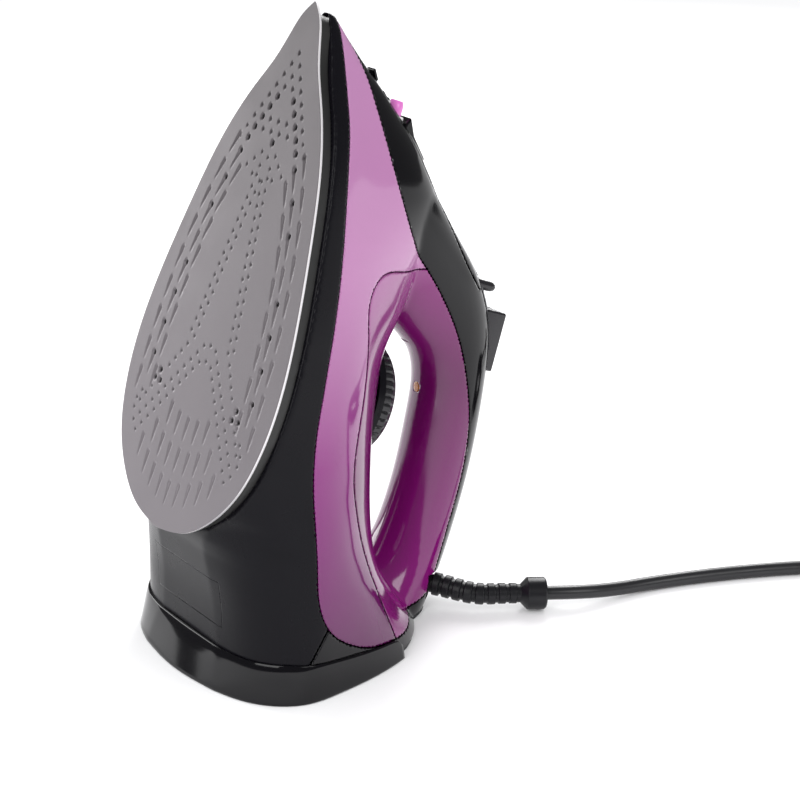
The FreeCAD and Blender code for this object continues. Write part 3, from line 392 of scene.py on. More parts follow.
sole_recess = prism(inset_outline(sole_line, 2.3), -2.0, 16.0)
cut(skirt, sole_recess)
drop(sole_recess)
DIAL_X, DIAL_RADIUS, DIAL_TOP, DIAL_HEIGHT = 74.0, 28.0, 85.0, 8.0
pocket = prism(disc_line(DIAL_X, 0, DIAL_RADIUS + 2.1), 72.0, 100.0)
cut(deck, pocket)
drop(pocket)
SWIVEL = (0.056, 0.0, 0.0125)
slot_line = [(SWIVEL[0], 0.0)] + [(SWIVEL[0] + 0.06 * math.cos(a), 0.06 * math.sin(a))
                                  for a in np.radians(np.linspace(-52, 52, 31))]
slot_points, slot_faces = skin_rings([np.array([(x, y, z) for x, y in slot_line])
                                      for z in (0.0065, 0.0185)])
cord_slot = mesh_object("cord_slot", slot_points, slot_faces, smooth=False)
for piece in (rear, deck, cover):
    cut(piece, cord_slot)
drop(cord_slot)
BUTTON_FRONT, BUTTON_REAR, BUTTON_TOP, BUTTON_WIDTH = 127.5, 99.5, 147.0, 9.6
WELL_FLOOR = 127.0
well = side_block([(BUTTON_FRONT + 0.4, WELL_FLOOR), (BUTTON_FRONT + 0.4, 160), (BUTTON_REAR - 0.4, 160),
                   (BUTTON_REAR - 0.4, WELL_FLOOR)], BUTTON_WIDTH + 0.7)
VALVE_X, LEVER_ARM = 150.0, 13.0
sweep = np.radians(np.linspace(180 - 41, 180 + 41, 31))
lever_slot = prism(np.array(
    [(VALVE_X + (LEVER_ARM + 3.1) * math.cos(a), (LEVER_ARM + 3.1) * math.sin(a)) for a in sweep]
    + [(VALVE_X + (LEVER_ARM - 3.1) * math.cos(a), (LEVER_ARM - 3.1) * math.sin(a))
       for a in sweep[::-1]]), 104.5, 160)
for piece in (pod, cover):
    cut(piece, well)
    cut(piece, lever_slot)
cut(strip, lever_slot)
drop(well, lever_slot)
NOZZLE_Z = 56.0
ring_a = [(191.5, 5.1 * math.cos(a), NOZZLE_Z + 5.1 * math.sin(a))
          for a in np.linspace(0, 2 * math.pi, 48, endpoint=False)]
bore_points, bore_faces = skin_rings([np.array(ring_a), np.array(ring_a) + [[30, 0, 0]]])
bore = mesh_object("bore", stand(bore_points), bore_faces)
RIDGE_LOW, RIDGE_HIGH = np.array((214.0, 36.6)), np.array((205.9, 48.8))
ridge_way = (RIDGE_HIGH - RIDGE_LOW) / np.linalg.norm(RIDGE_HIGH - RIDGE_LOW)
ridge_out = np.array((ridge_way[1], -ridge_way[0]))
DOOR_THICK, DOOR_HALF = 2.4, 4.4
door_line = [RIDGE_LOW - ridge_way * 0.35 + ridge_out * 4, RIDGE_HIGH + ridge_out * 4,
             RIDGE_HIGH - ridge_out * 4.2, RIDGE_LOW - ridge_way * 0.35 - ridge_out * 2.8]
door_well = side_block(door_line, DOOR_HALF + 0.35)
for piece in (strip, cover):
    cut(piece, bore)
    cut(piece, door_well)
drop(bore, door_well)
panel_low, panel_high = (-0.072, -0.028, 0.0275), (-0.022, 0.028, 0.0495)
panel_block = block(panel_low, panel_high)
panel = copy_of(skirt, "rating_panel_plate")
cut(panel, panel_block, "INTERSECT")
cut(skirt, panel_block)
drop(panel_block, inner_form, shell, below_floor)
for piece, keys in ((tank, ("skirt", "cover", "deck")), (deck, ("cover", "deck", "skirt")),
                    (cover, ("cover", "pod", "strip", "skirt")), (strip, ("cover", "strip", "pod")),
                    (pod, ("pod",)), (skirt, ("skirt", "rear")), (rear, ("skirt", "rear"))):
    round_edges(piece, keys)


# finishes of the mouldings
def new_group(name, inputs, outputs):
    group = bpy.data.node_groups.new(name, "ShaderNodeTree")
    for label, value in inputs:
        socket = group.interface.new_socket(label, in_out="INPUT", socket_type="NodeSocketFloat")
        socket.default_value = value
    for label, kind in outputs:
        group.interface.new_socket(label, in_out="OUTPUT", socket_type=kind)
    return group, group.nodes.new("NodeGroupInput"), group.nodes.new("NodeGroupOutput")


def moulded_grain():
    """Fine spark-eroded grain and the faint cloudiness of handled plastic."""
    group, given, result = new_group(
        "moulded_grain", [("Grain Size", 2500.0), ("Depth", 0.1), ("Smooth", 0.2), ("Rough", 0.3)],
        [("Normal", "NodeSocketVector"), ("Roughness", "NodeSocketFloat")])
    node, link = group.nodes.new, group.links.new
    place = node("ShaderNodeTexCoord")
    grain = node("ShaderNodeTexNoise")
    grain.inputs["Detail"].default_value = 3.0
    link(place.outputs["Object"], grain.inputs["Vector"])
    link(given.outputs["Grain Size"], grain.inputs["Scale"])
    bump = node("ShaderNodeBump")
    bump.inputs["Distance"].default_value = 0.0001
    link(given.outputs["Depth"], bump.inputs["Strength"])
    link(grain.outputs["Fac"], bump.inputs["Height"])
    cloud = node("ShaderNodeTexNoise")
    cloud.inputs["Scale"].default_value = 38.0
    cloud.inputs["Detail"].default_value = 5.0
    link(place.outputs["Object"], cloud.inputs["Vector"])
    rough = node("ShaderNodeMapRange")
    rough.inputs["From Min"].default_value = 0.3
    rough.inputs["From Max"].default_value = 0.7
    link(cloud.outputs["Fac"], rough.inputs["Value"])
    link(given.outputs["Smooth"], rough.inputs["To Min"])
    link(given.outputs["Rough"], rough.inputs["To Max"])
    link(bump.outputs["Normal"], result.inputs["Normal"])
    link(rough.outputs["Result"], result.inputs["Roughness"])
    return group


GRAIN = moulded_grain()


def moulding_finish(name, colour, smooth, rough, coat=0.0, depth=0.06, grain_size=2500.0):
    """A moulded plastic: its colour, how smooth and rough it gets, and its polish."""
    finish = bpy.data.materials.new(name)
    finish.use_nodes = True
    tree = finish.node_tree
    surface = tree.nodes["Principled BSDF"]
    grain = tree.nodes.new("ShaderNodeGroup")
    grain.node_tree = GRAIN
    for label, value in (("Grain Size", grain_size), ("Depth", depth), ("Smooth", smooth),
                         ("Rough", rough)):
        grain.inputs[label].default_value = value
    surface.inputs["Base Color"].default_value = (*colour, 1)
    surface.inputs["Coat Weight"].default_value = coat
    surface.inputs["Coat Roughness"].default_value = 0.04
    tree.links.new(grain.outputs["Normal"], surface.inputs["Normal"])
    tree.links.new(grain.outputs["Roughness"], surface.inputs["Roughness"])
    return finish


def set_surface(finish, label, value):
    """Sets one input of a finish's surface."""
    finish.node_tree.nodes["Principled BSDF"].inputs[label].default_value = value


def metal_finish(name, colour, smooth, rough, grain_size=900.0, depth=0.1):
    finish = moulding_finish(name, colour, smooth, rough, depth=depth, grain_size=grain_size)
    set_surface(finish, "Metallic", 1.0)
    return finish


def colour_along(finish, way, low, high, stops):
    """Runs a colour through stops along a direction, in metres from the origin."""
    tree = finish.node_tree
    place = tree.nodes.new("ShaderNodeTexCoord")
    dot = tree.nodes.new("ShaderNodeVectorMath")
    dot.operation = "DOT_PRODUCT"
    dot.inputs[1].default_value = way
    span = tree.nodes.new("ShaderNodeMapRange")
    span.inputs["From Min"].default_value = low
    span.inputs["From Max"].default_value = high
    ramp = tree.nodes.new("ShaderNodeValToRGB")
    for k, (at, colour) in enumerate(stops):
        stop = ramp.color_ramp.elements[k] if k < 2 else ramp.color_ramp.elements.new(at)
        stop.position = at
        stop.color = (*colour, 1)
    tree.links.new(place.outputs["Object"], dot.inputs[0])
    tree.links.new(dot.outputs["Value"], span.inputs["Value"])
    tree.links.new(span.outputs["Result"], ramp.inputs["Fac"])
    tree.links.new(ramp.outputs["Color"],
                   tree.nodes["Principled BSDF"].inputs["Base Color"])


def dress(piece, finish, body, slot, *nodes):
    piece.data.materials.clear()
    piece.data.materials.append(finish)
    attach(piece, body)
    if nodes:
        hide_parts(*nodes)


satin_black = moulding_finish("satin_black", (0.004, 0.0037, 0.0055), 0.24, 0.32, depth=0.12)
gloss_black = moulding_finish("gloss_black", (0.002, 0.0018, 0.0028), 0.06, 0.1, coat=0.1)
satin_grey = moulding_finish("satin_grey", (0.03, 0.03, 0.034), 0.3, 0.38, depth=0.1)
for finish, share in ((satin_black, 0.12), (gloss_black, 0.28), (satin_grey, 0.2)):
    set_surface(finish, "Specular IOR Level", share)
tank_purple = moulding_finish("tank_purple", (0.3, 0.03, 0.25), 0.07, 0.11, coat=0.3, depth=0.02)
set_surface(tank_purple, "Transmission Weight", 0.22)
set_surface(tank_purple, "IOR", 1.49)
colour_along(tank_purple, (0, 0, 1), 0.02, 0.28,
             [(0.0, (0.11, 0.003, 0.085)), (1.0, (0.50, 0.24, 0.45)), (0.32, (0.24, 0.012, 0.19)),
              (0.62, (0.50, 0.21, 0.44))])
handle_purple = moulding_finish("handle_purple", (0.07, 0.004, 0.055), 0.08, 0.15, coat=0.3,
                                depth=0.03)
colour_along(handle_purple, (-0.35, 0, 1), 0.0, 0.2,
             [(0.0, (0.17, 0.004, 0.125)), (1.0, (0.48, 0.19, 0.42)), (0.4, (0.10, 0.002, 0.07)),
              (0.68, (0.17, 0.007, 0.125))])
dress(tank, tank_purple, "iron", "tank_clear", "water_tank")
dress(deck, handle_purple, "iron", "handle_purple", "handle_shell")
dress(cover, gloss_black, "iron", "gloss_black", "handle_cover")
dress(strip, gloss_black, "iron", "gloss_black", "top_strip")
dress(pod, satin_grey, "iron", "pod_grey", "control_pod")
dress(skirt, satin_black, "iron", "housing_black", "skirt_shell")
dress(rear, gloss_black, "iron", "gloss_black", "rear_cover")
dress(panel, satin_black, "iron", "panel_black", "rating_panel")

# --- soleplate ----------------------------------------------------------------------------------
# A pressed sheet with a satin ceramic coating, its edge ground bright. Steam leaves through holes
# at the heads of shallow channels, and rows of dimples carry it over the face.
CHAIN = [(165.5, 21.9), (152.3, 27.3), (138.9, 31.8), (125.4, 35.2), (111.0, 38.0), (96.9, 39.9),
         (82.6, 41.2), (68.3, 41.9)]
CHANNEL_LENGTH, CHANNEL_RADIUS, CHANNEL_DEPTH = 9.4, 0.95, 0.7
HOLE_RADIUS, HOLE_DEPTH = 1.25, 1.0
DIMPLE_DEPTH = 0.5
channels, steam_holes, dimples = [], [], []
for k, (x, y) in enumerate(CHAIN):
    before, after = CHAIN[max(k - 1, 0)], CHAIN[min(k + 1, len(CHAIN) - 1)]
    run = np.array((after[0] - before[0], after[1] - before[1]))
    run /= np.linalg.norm(run)
    side = np.array((-run[1], run[0]))
    side *= 1 if side[1] > 0 else -1
    for along, across in ((0.0, 0.0), (-4.7, 6.6), (5.0, -5.5)):
        head = np.array((x, y)) + run * along + side * across
        channels.append((head, run))
    if k != 3:
        steam_holes.append((x, y))
channels.append((np.array((59.5, 48.3)), np.array((-1.0, 0.03))))
for x, y in [(52.5, 15.7), (50.1, 7.7), (49.3, 0.0), (41.8, 23.3), (37.9, 15.5), (35.7, 7.9),
             (35.3, 0.0), (33.2, 31.0), (27.5, 23.2), (23.9, 15.4), (21.5, 7.6), (20.6, 0.0)]:
    channels.append((np.array((x, y)), np.array((-1.0, 0.0))))
steam_holes += [(192.4 - 5.05 * k, 6.3 + 3.4 * k) for k in range(4)] + [(172.0, 19.2), (173.0, 0.0)]
steam_holes += [(62.7, 32.7), (58.6, 35.7), (58.3, 31.0)]
for row, (start, step, count) in enumerate([((212.3, 0.0), (-5.1, 3.2), 7),
                                            ((202.0, 0.0), (-5.0, 3.1), 2)]):
    dimples += [(start[0] + step[0] * k, start[1] + step[1] * k, 1.15) for k in range(count)]
dimples += [(182.3, 0, 1.15), (182.3, 6.5, 1.15), (177.3, 3.2, 1.15), (177.3, 9.8, 1.15)]
small_rows = [((156.0, 0.8), (-5.2, 0.97), 15), ((158.0, 4.4), (-5.2, 0.97), 15),
              ((73.9, 4.9), (-4.08, 3.39), 11), ((81.3, 5.0), (-4.05, 3.4), 12),
              ((78.8, 17.9), (-4.1, 3.0), 10), ((50.5, 42.3), (-4.2, 2.6), 2),
              ((168.0, 5.4), (-3.6, 4.3), 3), ((166.5, 0.0), (-4.3, 4.0), 3),
              ((176.5, 22.5), (-5.0, 3.1), 2)]
for start, step, count in small_rows:
    dimples += [(start[0] + step[0] * k, start[1] + step[1] * k, 0.85) for k in range(count)]
dimples += [(75.4, 0.0, 0.85), (82.6, 0.0, 0.85)]
dimples = [d for d in dimples if min(math.dist(d[:2], h) for h in steam_holes) > 3.0]

SOLE_ROWS, SOLE_COLUMNS, SHEET, EDGE_BREAK = 420, 205, 1.2, 0.25
edge_x = np.array([q[0] for q in curve_through(half_sole, 600)])
edge_y = np.array([q[1] for q in curve_through(half_sole, 600)])
rows_x = SOLE_LENGTH * (0.5 + 0.5 * np.cos(np.linspace(0.012, math.pi - 0.03, SOLE_ROWS)))
rows_x = 0.25 * rows_x + 0.75 * np.linspace(SOLE_LENGTH - 0.15, 0.25, SOLE_ROWS)
rows_half = np.interp(rows_x, edge_x[::-1], edge_y[::-1])
across = np.linspace(-1, 1, SOLE_COLUMNS)
grid_x = np.repeat(rows_x[:, None], SOLE_COLUMNS, axis=1)
grid_y = rows_half[:, None] * across[None]
depth = np.zeros_like(grid_x)
# The pit values mark painted shade: near black in the steam holes and dark in the dimples.
pit_shade = np.zeros_like(grid_x)
mirrored_y = np.abs(grid_y)
for head, run in channels:
    dx, dy = grid_x - head[0], mirrored_y - head[1]
    on = np.clip(dx * run[0] + dy * run[1], 0, CHANNEL_LENGTH)
    gap = np.hypot(dx - run[0] * on, dy - run[1] * on)
    width = CHANNEL_RADIUS * (1.15 - 0.55 * on / CHANNEL_LENGTH)
    fade = 1 - 0.75 * on / CHANNEL_LENGTH
    depth = np.maximum(depth, CHANNEL_DEPTH * fade * np.clip(1 - (gap / width) ** 2, 0, 1))
for x, y, radius in dimples:
    gap = np.hypot(grid_x - x, mirrored_y - y)
    depth = np.maximum(depth, DIMPLE_DEPTH * np.clip(1 - (gap / radius) ** 2, 0, 1))
    pit_shade = np.maximum(pit_shade, 0.7 * np.clip(1.5 * (1.2 - gap / radius), 0, 1))
for x, y in steam_holes:
    gap = np.hypot(grid_x - x, mirrored_y - y)
    depth = np.maximum(depth, HOLE_DEPTH * np.clip((HOLE_RADIUS + 0.3 - gap) / 0.6, 0, 1))
    pit_shade = np.maximum(pit_shade, np.clip((HOLE_RADIUS + 0.1 - gap) / 0.3, 0, 1))
face = np.column_stack((grid_x.ravel(), grid_y.ravel(), depth.ravel()))
points, faces = list(face), []
for r in range(SOLE_ROWS - 1):
    for c in range(SOLE_COLUMNS - 1):
        k = r * SOLE_COLUMNS + c
        faces.append((k, k + 1, k + SOLE_COLUMNS + 1, k + SOLE_COLUMNS))
border = list(range(SOLE_COLUMNS))
border += [r * SOLE_COLUMNS + SOLE_COLUMNS - 1 for r in range(1, SOLE_ROWS)]
border += [(SOLE_ROWS - 1) * SOLE_COLUMNS + c for c in range(SOLE_COLUMNS - 2, -1, -1)]
border += [r * SOLE_COLUMNS for r in range(SOLE_ROWS - 2, 0, -1)]
ring = border
edge_mark = [0.0] * len(points)
for fall in (EDGE_BREAK, SHEET):
    start = len(points)
    for k in border:
        q = points[k]
        points.append((q[0], q[1], fall))
        edge_mark.append(1.0)
    nxt = list(range(start, start + len(border)))
    for a in range(len(border)):
        b = (a + 1) % len(border)
        faces.append((ring[a], nxt[a], nxt[b], ring[b]))
    ring = nxt
faces.append(tuple(ring))
sole = mesh_object("soleplate_face", stand(points), faces)
for label, values in (("pit_shade", list(pit_shade.ravel()) + [0.0] * (len(points) - len(face))),
                      ("edge", edge_mark)):
    sole.data.attributes.new(label, "FLOAT", "POINT").data.foreach_set("value", values)


def sole_coating():
    """Satin coating, bright where the edge is ground; painted shade darkens its pits and its tip."""
    finish = bpy.data.materials.new("sole_coating")
    finish.use_nodes = True
    tree = finish.node_tree
    node, link = tree.nodes.new, tree.links.new
    surface = tree.nodes["Principled BSDF"]
    grain = node("ShaderNodeGroup")
    grain.node_tree = GRAIN
    for label, value in (("Grain Size", 1600.0), ("Depth", 0.1), ("Smooth", 0.34), ("Rough", 0.44)):
        grain.inputs[label].default_value = value
    pit_shade_read, edge = node("ShaderNodeAttribute"), node("ShaderNodeAttribute")
    pit_shade_read.attribute_name, edge.attribute_name = "pit_shade", "edge"
    # painted shade: the coating darkens from near the heel up to the tip, the higher it stands
    place, height = node("ShaderNodeTexCoord"), node("ShaderNodeSeparateXYZ")
    link(place.outputs["Object"], height.inputs["Vector"])
    fade = node("ShaderNodeMapRange")
    fade.inputs["From Min"].default_value = 0.08
    fade.inputs["From Max"].default_value = 0.29
    link(height.outputs["Z"], fade.inputs["Value"])
    shade = node("ShaderNodeMix")
    shade.data_type = "RGBA"
    shade.inputs["A"].default_value = (0.17, 0.155, 0.168, 1)
    shade.inputs["B"].default_value = (0.055, 0.048, 0.052, 1)
    link(fade.outputs["Result"], shade.inputs["Factor"])
    # painted shade: the coating is mixed towards near black in the holes and dimples
    painted_pit_shade = node("ShaderNodeMix")
    painted_pit_shade.data_type = "RGBA"
    link(shade.outputs["Result"], painted_pit_shade.inputs["A"])
    painted_pit_shade.inputs["B"].default_value = (0.012, 0.011, 0.012, 1)
    link(pit_shade_read.outputs["Fac"], painted_pit_shade.inputs["Factor"])
    bright = node("ShaderNodeMix")
    bright.data_type = "RGBA"
    bright.inputs["B"].default_value = (0.75, 0.73, 0.75, 1)
    link(edge.outputs["Fac"], bright.inputs["Factor"])
    link(painted_pit_shade.outputs["Result"], bright.inputs["A"])
    link(bright.outputs["Result"], surface.inputs["Base Color"])
    # part of the painted shade in the pits: less metal and no shine there, so they stay dark
    metal = node("ShaderNodeMapRange")
    metal.inputs["To Min"].default_value = 0.35
    metal.inputs["To Max"].default_value = 0.0
    link(pit_shade_read.outputs["Fac"], metal.inputs["Value"])
    link(metal.outputs["Result"], surface.inputs["Metallic"])
    shine = node("ShaderNodeMapRange")
    shine.inputs["To Min"].default_value = 0.4
    shine.inputs["To Max"].default_value = 0.0
    link(pit_shade_read.outputs["Fac"], shine.inputs["Value"])
    link(shine.outputs["Result"], surface.inputs["Specular IOR Level"])
    link(grain.outputs["Roughness"], surface.inputs["Roughness"])
    link(grain.outputs["Normal"], surface.inputs["Normal"])
    return finish


dress(sole, sole_coating(), "iron", "sole_coating", "sole_sheet")

# --- foot ---------------------------------------------------------------------------------------
# A gloss ring round the heel that the iron stands on, lower towards the handle side, with a base
# plate inside it. The ring ends in two rounded arms beside the cord.
FOOT_SOLE, FOOT_ARM, FOOT_SLOPE_FROM, FOOT_ARM_END, ARM_ROUND = 18.0, 9.6, -32.0, 33.0, 6.0
graph = bpy.context.evaluated_depsgraph_get()
solid_seen = solid.evaluated_get(graph)
FOOT_CENTRE, SIDE_SPREAD, SOLE_SPREAD, SPREAD_HEIGHT, LOWEST_RAY = (-8.0, 0.0), 3.0, 6.5, 21.0, 2.6


def body_reach(angle, height):
    """How far the body's surface is from the foot's centre at a height, in mm."""
    way = Vector((math.cos(angle), math.sin(angle), 0))
    start = Vector((FOOT_CENTRE[0], FOOT_CENTRE[1], height)) / 1000
    place = solid_seen.ray_cast(start, way)[1]
    return (place - start).length * 1000


sections = []
for angle in np.linspace(math.radians(38), math.radians(322), 240):
    low_reach = body_reach(angle, LOWEST_RAY)
    x = FOOT_CENTRE[0] + low_reach * math.cos(angle)
    if x > FOOT_ARM_END - 0.3:
        continue
    share = np.clip((x - FOOT_SLOPE_FROM) / (FOOT_ARM_END - FOOT_SLOPE_FROM), 0, 1)
    top = FOOT_SOLE + (FOOT_ARM - FOOT_SOLE) * share
    left = FOOT_ARM_END - x
    if left < ARM_ROUND:
        top *= math.sqrt(max(0.04, 1 - (1 - left / ARM_ROUND) ** 2))
    spread = SIDE_SPREAD + SOLE_SPREAD * max(0.0, -math.cos(angle)) ** 2
    section = []
    for share in (0.0, 0.03, 0.1, 0.25, 0.45, 0.65, 0.82, 0.93, 0.98, 1.0):
        height = 0.05 + (top - 0.05) * share
        reach = body_reach(angle, max(LOWEST_RAY, height))
        lip = 0.75 - 0.5 * max(0.0, (share - 0.82) / 0.18) ** 2
        under = -0.7 if share == 0.0 else 0.0
        section.append((reach + lip + under + (spread - lip) * (1 - height / SPREAD_HEIGHT),
                        height))
    section += [(body_reach(angle, max(LOWEST_RAY, h)) - 0.35, h) for h in (top, top * 0.6, 0.05)]
    sections.append(np.array([(FOOT_CENTRE[0] + r * math.cos(angle), r * math.sin(angle), h)
                              for r, h in section]))
foot_points, foot_faces = skin_rings(sections)
foot = mesh_object("heel_ring", foot_points / 1000, foot_faces)
plate_outline = [(FOOT_CENTRE[0] + r * math.cos(a), r * math.sin(a))
                 for a in np.linspace(0, 2 * math.pi, 160, endpoint=False)
                 for r in [body_reach(a, LOWEST_RAY) - 0.6]]
plate_points, plate_faces = skin_rings([np.array([(x, y, z) for x, y in plate_outline]) / 1000
                                        for z in (0.1, 0.5, 1.9)])
plate = mesh_object("heel_plate", plate_points, plate_faces, smooth=False)
dress(foot, gloss_black, "iron", "gloss_black", "heel_foot")
dress(plate, satin_black, "iron", "gloss_black")


# --- turned and swept pieces --------------------------------------------------------------------
# Dial, nozzle, lever and pilot lens are turned shapes; the cord guard is a bar swept along its bend.
def on_surface(points):
    """Points measured level, from below the soleplate's tail, in mm, to the scene."""
    return (np.asarray(points, dtype=float) - [[HEEL_AHEAD, 0, 0]]) / 1000


def turned(name, profile, centre, way, place=stand, count=96, notches=0):
    """A solid of revolution: profile is (radius, distance along way), optionally knurled."""
    way = np.array(way, dtype=float) / np.linalg.norm(way)
    u = np.cross(way, (0, 1, 0) if abs(way[1]) < 0.9 else (1, 0, 0))
    u /= np.linalg.norm(u)
    v = np.cross(way, u)
    a = np.linspace(0, 2 * math.pi, count, endpoint=False)
    groove = 0.9 * np.clip(np.cos(notches * a) - 0.2, 0, 1) if notches else np.zeros(count)
    rings = []
    for radius, along in profile:
        r = radius - (groove if radius > profile[0][0] - 0.5 else 0)
        r = np.broadcast_to(r, (count,))[:, None]
        rings.append(np.array(centre) + way * along
                     + r * (np.cos(a)[:, None] * u + np.sin(a)[:, None] * v))
    points, faces = skin_rings(rings)
    piece = mesh_object(name, place(points), faces)
    piece.data.set_sharp_from_angle(angle=math.radians(40))
    return piece


def swept(name, line, radii, place=on_surface, count=48):
    """A round bar along a line of points, with its radius at each."""
    line = np.asarray(line, dtype=float)
    way = np.gradient(line, axis=0)
    way /= np.linalg.norm(way, axis=1)[:, None]
    side = np.array((0.0, 0.0, 1.0))
    a = np.linspace(0, 2 * math.pi, count, endpoint=False)
    rings = []
    for q, w, r in zip(line, way, radii):
        side = side - w * np.dot(side, w)
        side /= np.linalg.norm(side)
        other = np.cross(w, side)
        rings.append(q + r * (np.cos(a)[:, None] * side + np.sin(a)[:, None] * other))
    points, faces = skin_rings(rings)
    piece = mesh_object(name, place(points), faces)
    piece.data.set_sharp_from_angle(angle=math.radians(40))
    return piece


base = DIAL_TOP - DIAL_HEIGHT
dial = turned("dial_wheel", [(27.4, base), (28, base + 0.6), (28, base + 4.6), (27.2, base + 5.4),
                             (26.2, base + 7.2), (25.4, DIAL_TOP), (22.6, DIAL_TOP),
                             (22.0, DIAL_TOP - 0.5), (21.2, DIAL_TOP - 1.1),
                             (4.4, DIAL_TOP - 1.1), (4.3, DIAL_TOP - 3.0), (0.3, DIAL_TOP - 3.0)],
              (DIAL_X, 0, 0), (0, 0, 1), count=480, notches=48)
dial_black = moulding_finish("dial_black", (0.01, 0.0095, 0.012), 0.24, 0.3, depth=0.15)
dress(dial, dial_black, "dial", "dial_black", "thermostat_dial")
bezel = turned("dial_ring", [(28.0, 72.5), (29.9, 72.5), (29.9, 76.0), (29.2, 76.3), (6.0, 76.3),
                             (5.2, 75.0), (5.2, 72.5)], (DIAL_X, 0, 0), (0, 0, 1))
dress(bezel, satin_black, "iron", "dial_black", "dial_bezel")
nozzle_pink = moulding_finish("nozzle_pink", (0.62, 0.16, 0.5), 0.12, 0.18, coat=0.3)
nozzle_white = moulding_finish("nozzle_white", (0.75, 0.74, 0.73), 0.2, 0.28)
nozzle = turned("spray_jet", [(3.3, 195.6), (3.55, 195.9), (3.55, 203.6), (3.3, 204.2),
                              (2.9, 205.4), (2.5, 205.9), (0.8, 205.9), (0.55, 205.5),
                              (0.5, 203.4)], (0, 0, NOZZLE_Z), (1, 0, 0), count=64)
dress(nozzle, nozzle_pink, "iron", "nozzle_pink", "spray_nozzle")
seat = turned("jet_seat", [(4.7, 191.7), (4.95, 192.0), (4.95, 199.0), (4.6, 199.4),
                           (3.9, 199.4), (3.7, 199.1), (3.7, 196.0)],
              (0, 0, NOZZLE_Z), (1, 0, 0), count=64)
dress(seat, nozzle_white, "iron", "nozzle_white", "nozzle_seat")
lever = turned("lever_capsule", [(1.2, 97.2), (2.4, 97.8), (2.4, 137.6), (2.25, 139.0),
                                 (1.7, 140.3), (0.8, 140.95), (0.1, 141.0)],
               (VALVE_X - LEVER_ARM, 0, 0), (0, 0, 1), count=48)
arm = side_block([(VALVE_X + 4.6, 97.2), (VALVE_X + 4.6, 102.8), (VALVE_X - LEVER_ARM, 102.8),
                  (VALVE_X - LEVER_ARM, 97.2)], 2.4)
settle(arm, ("BEVEL", {"width": 0.0005, "segments": 2}))
button_black = moulding_finish("button_black", (0.012, 0.011, 0.014), 0.25, 0.3, depth=0.1)
dress(lever, button_black, "steam_lever", "button_black", "steam_lever")
dress(arm, button_black, "steam_lever", "button_black")

# push buttons: wedge blocks with a soft edge
for side, body in ((1, "steam_button"), (-1, "spray_button")):
    key = side_block([(BUTTON_FRONT, 131.2), (BUTTON_FRONT, BUTTON_TOP - 1.7),
                      (BUTTON_REAR, BUTTON_TOP - 0.05), (BUTTON_REAR, 131.2)],
                     BUTTON_WIDTH / 2, side * (BUTTON_WIDTH / 2 + 0.35))
    settle(key, ("BEVEL", {"width": 0.0011, "segments": 4}))
    key.name = body + "_key"
    key.data.shade_smooth()
    key.data.set_sharp_from_angle(angle=math.radians(30))
    dress(key, button_black, body, "button_black", body)

# return springs under the buttons
spring_steel = metal_finish("spring_steel", (0.6, 0.6, 0.6), 0.18, 0.26, 2500.0, 0.06)
PUMP_X, PUMP_TOP, SPRING_RADIUS, SPRING_TURNS, SPRING_RISE = 113.0, 122.0, 3.8, 4, 8.1
turn = np.linspace(0, SPRING_TURNS, 160)
for side, name in ((1, "steam"), (-1, "spray")):
    y = side * (BUTTON_WIDTH / 2 + 0.35)
    helix = np.column_stack((PUMP_X + SPRING_RADIUS * np.cos(2 * math.pi * turn),
                             y + SPRING_RADIUS * np.sin(2 * math.pi * turn),
                             PUMP_TOP + 0.45 + SPRING_RISE * turn / SPRING_TURNS))
    spring = swept(name + "_return_spring", helix, np.full(len(helix), 0.34), place=stand,
                   count=12)
    dress(spring, spring_steel, "iron", "spring_steel", name + "_spring")
    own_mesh(spring)

# filler door: a flap of the ridge with its hinge barrel and a pull tab
hinge = RIDGE_HIGH - ridge_out * 2.2
door_piece = [RIDGE_LOW + ridge_out * 4, RIDGE_HIGH + ridge_out * 4,
              RIDGE_HIGH - ridge_out * DOOR_THICK, RIDGE_LOW - ridge_out * DOOR_THICK]
flap = copy_of(solid, "filler_flap")
tool = side_block(door_piece, DOOR_HALF - 0.02)
cut(flap, tool, "INTERSECT")
barrel = turned("flap_barrel", [(1.6, -4.35), (1.88, -4.1), (1.88, 4.1), (1.6, 4.35)],
                (hinge[0], 0, hinge[1]), (0, 1, 0), count=40)
tab_root = RIDGE_LOW + ridge_way * 5.0
tab = side_block([tab_root - ridge_out * 0.8, tab_root + ridge_out * 0.6,
                  RIDGE_LOW + ridge_out * 2.4, RIDGE_LOW + ridge_out * 1.3], 2.95)
settle(tab, ("BEVEL", {"width": 0.0003, "segments": 3}))
tab.name = "flap_tab"
dress(flap, gloss_black, "filler_door", "gloss_black", "filler_door")
dress(barrel, satin_black, "filler_door", "gloss_black")
dress(tab, gloss_black, "filler_door", "gloss_black")
drop(tool)

# hood over the jet, grown out of the ridge
hood = side_block([(200.6, 62.4), (193.0, 67.0), (184.5, 76.4), (181.0, 68.0), (190.0, 59.5),
                   (197.5, 60.6)], 5.6)
settle(hood, ("BEVEL", {"width": 0.0009, "segments": 3}))
hood.name = "jet_hood"
dress(hood, gloss_black, "iron", "gloss_black", "nozzle_hood")

# pilot lens in the deck, behind the handle
lens_hole = turned("lens_hole", [(2.4, 112.0), (2.4, 124.0)], (84, 0, 0), (0, 0, 1), count=48)
pilot = copy_of(solid, "pilot_lens")
tool = turned("lens_plug", [(2.3, 112.2), (2.3, 119.7)], (84, 0, 0), (0, 0, 1), count=48)
cut(pilot, tool, "INTERSECT")
cut(deck, lens_hole)
amber = moulding_finish("lens_amber", (0.75, 0.22, 0.02), 0.08, 0.12, coat=0.3, depth=0.0)
set_surface(amber, "Transmission Weight", 0.5)
dress(pilot, amber, "iron", "lens_amber", "pilot_light")
drop(lens_hole, tool, solid)

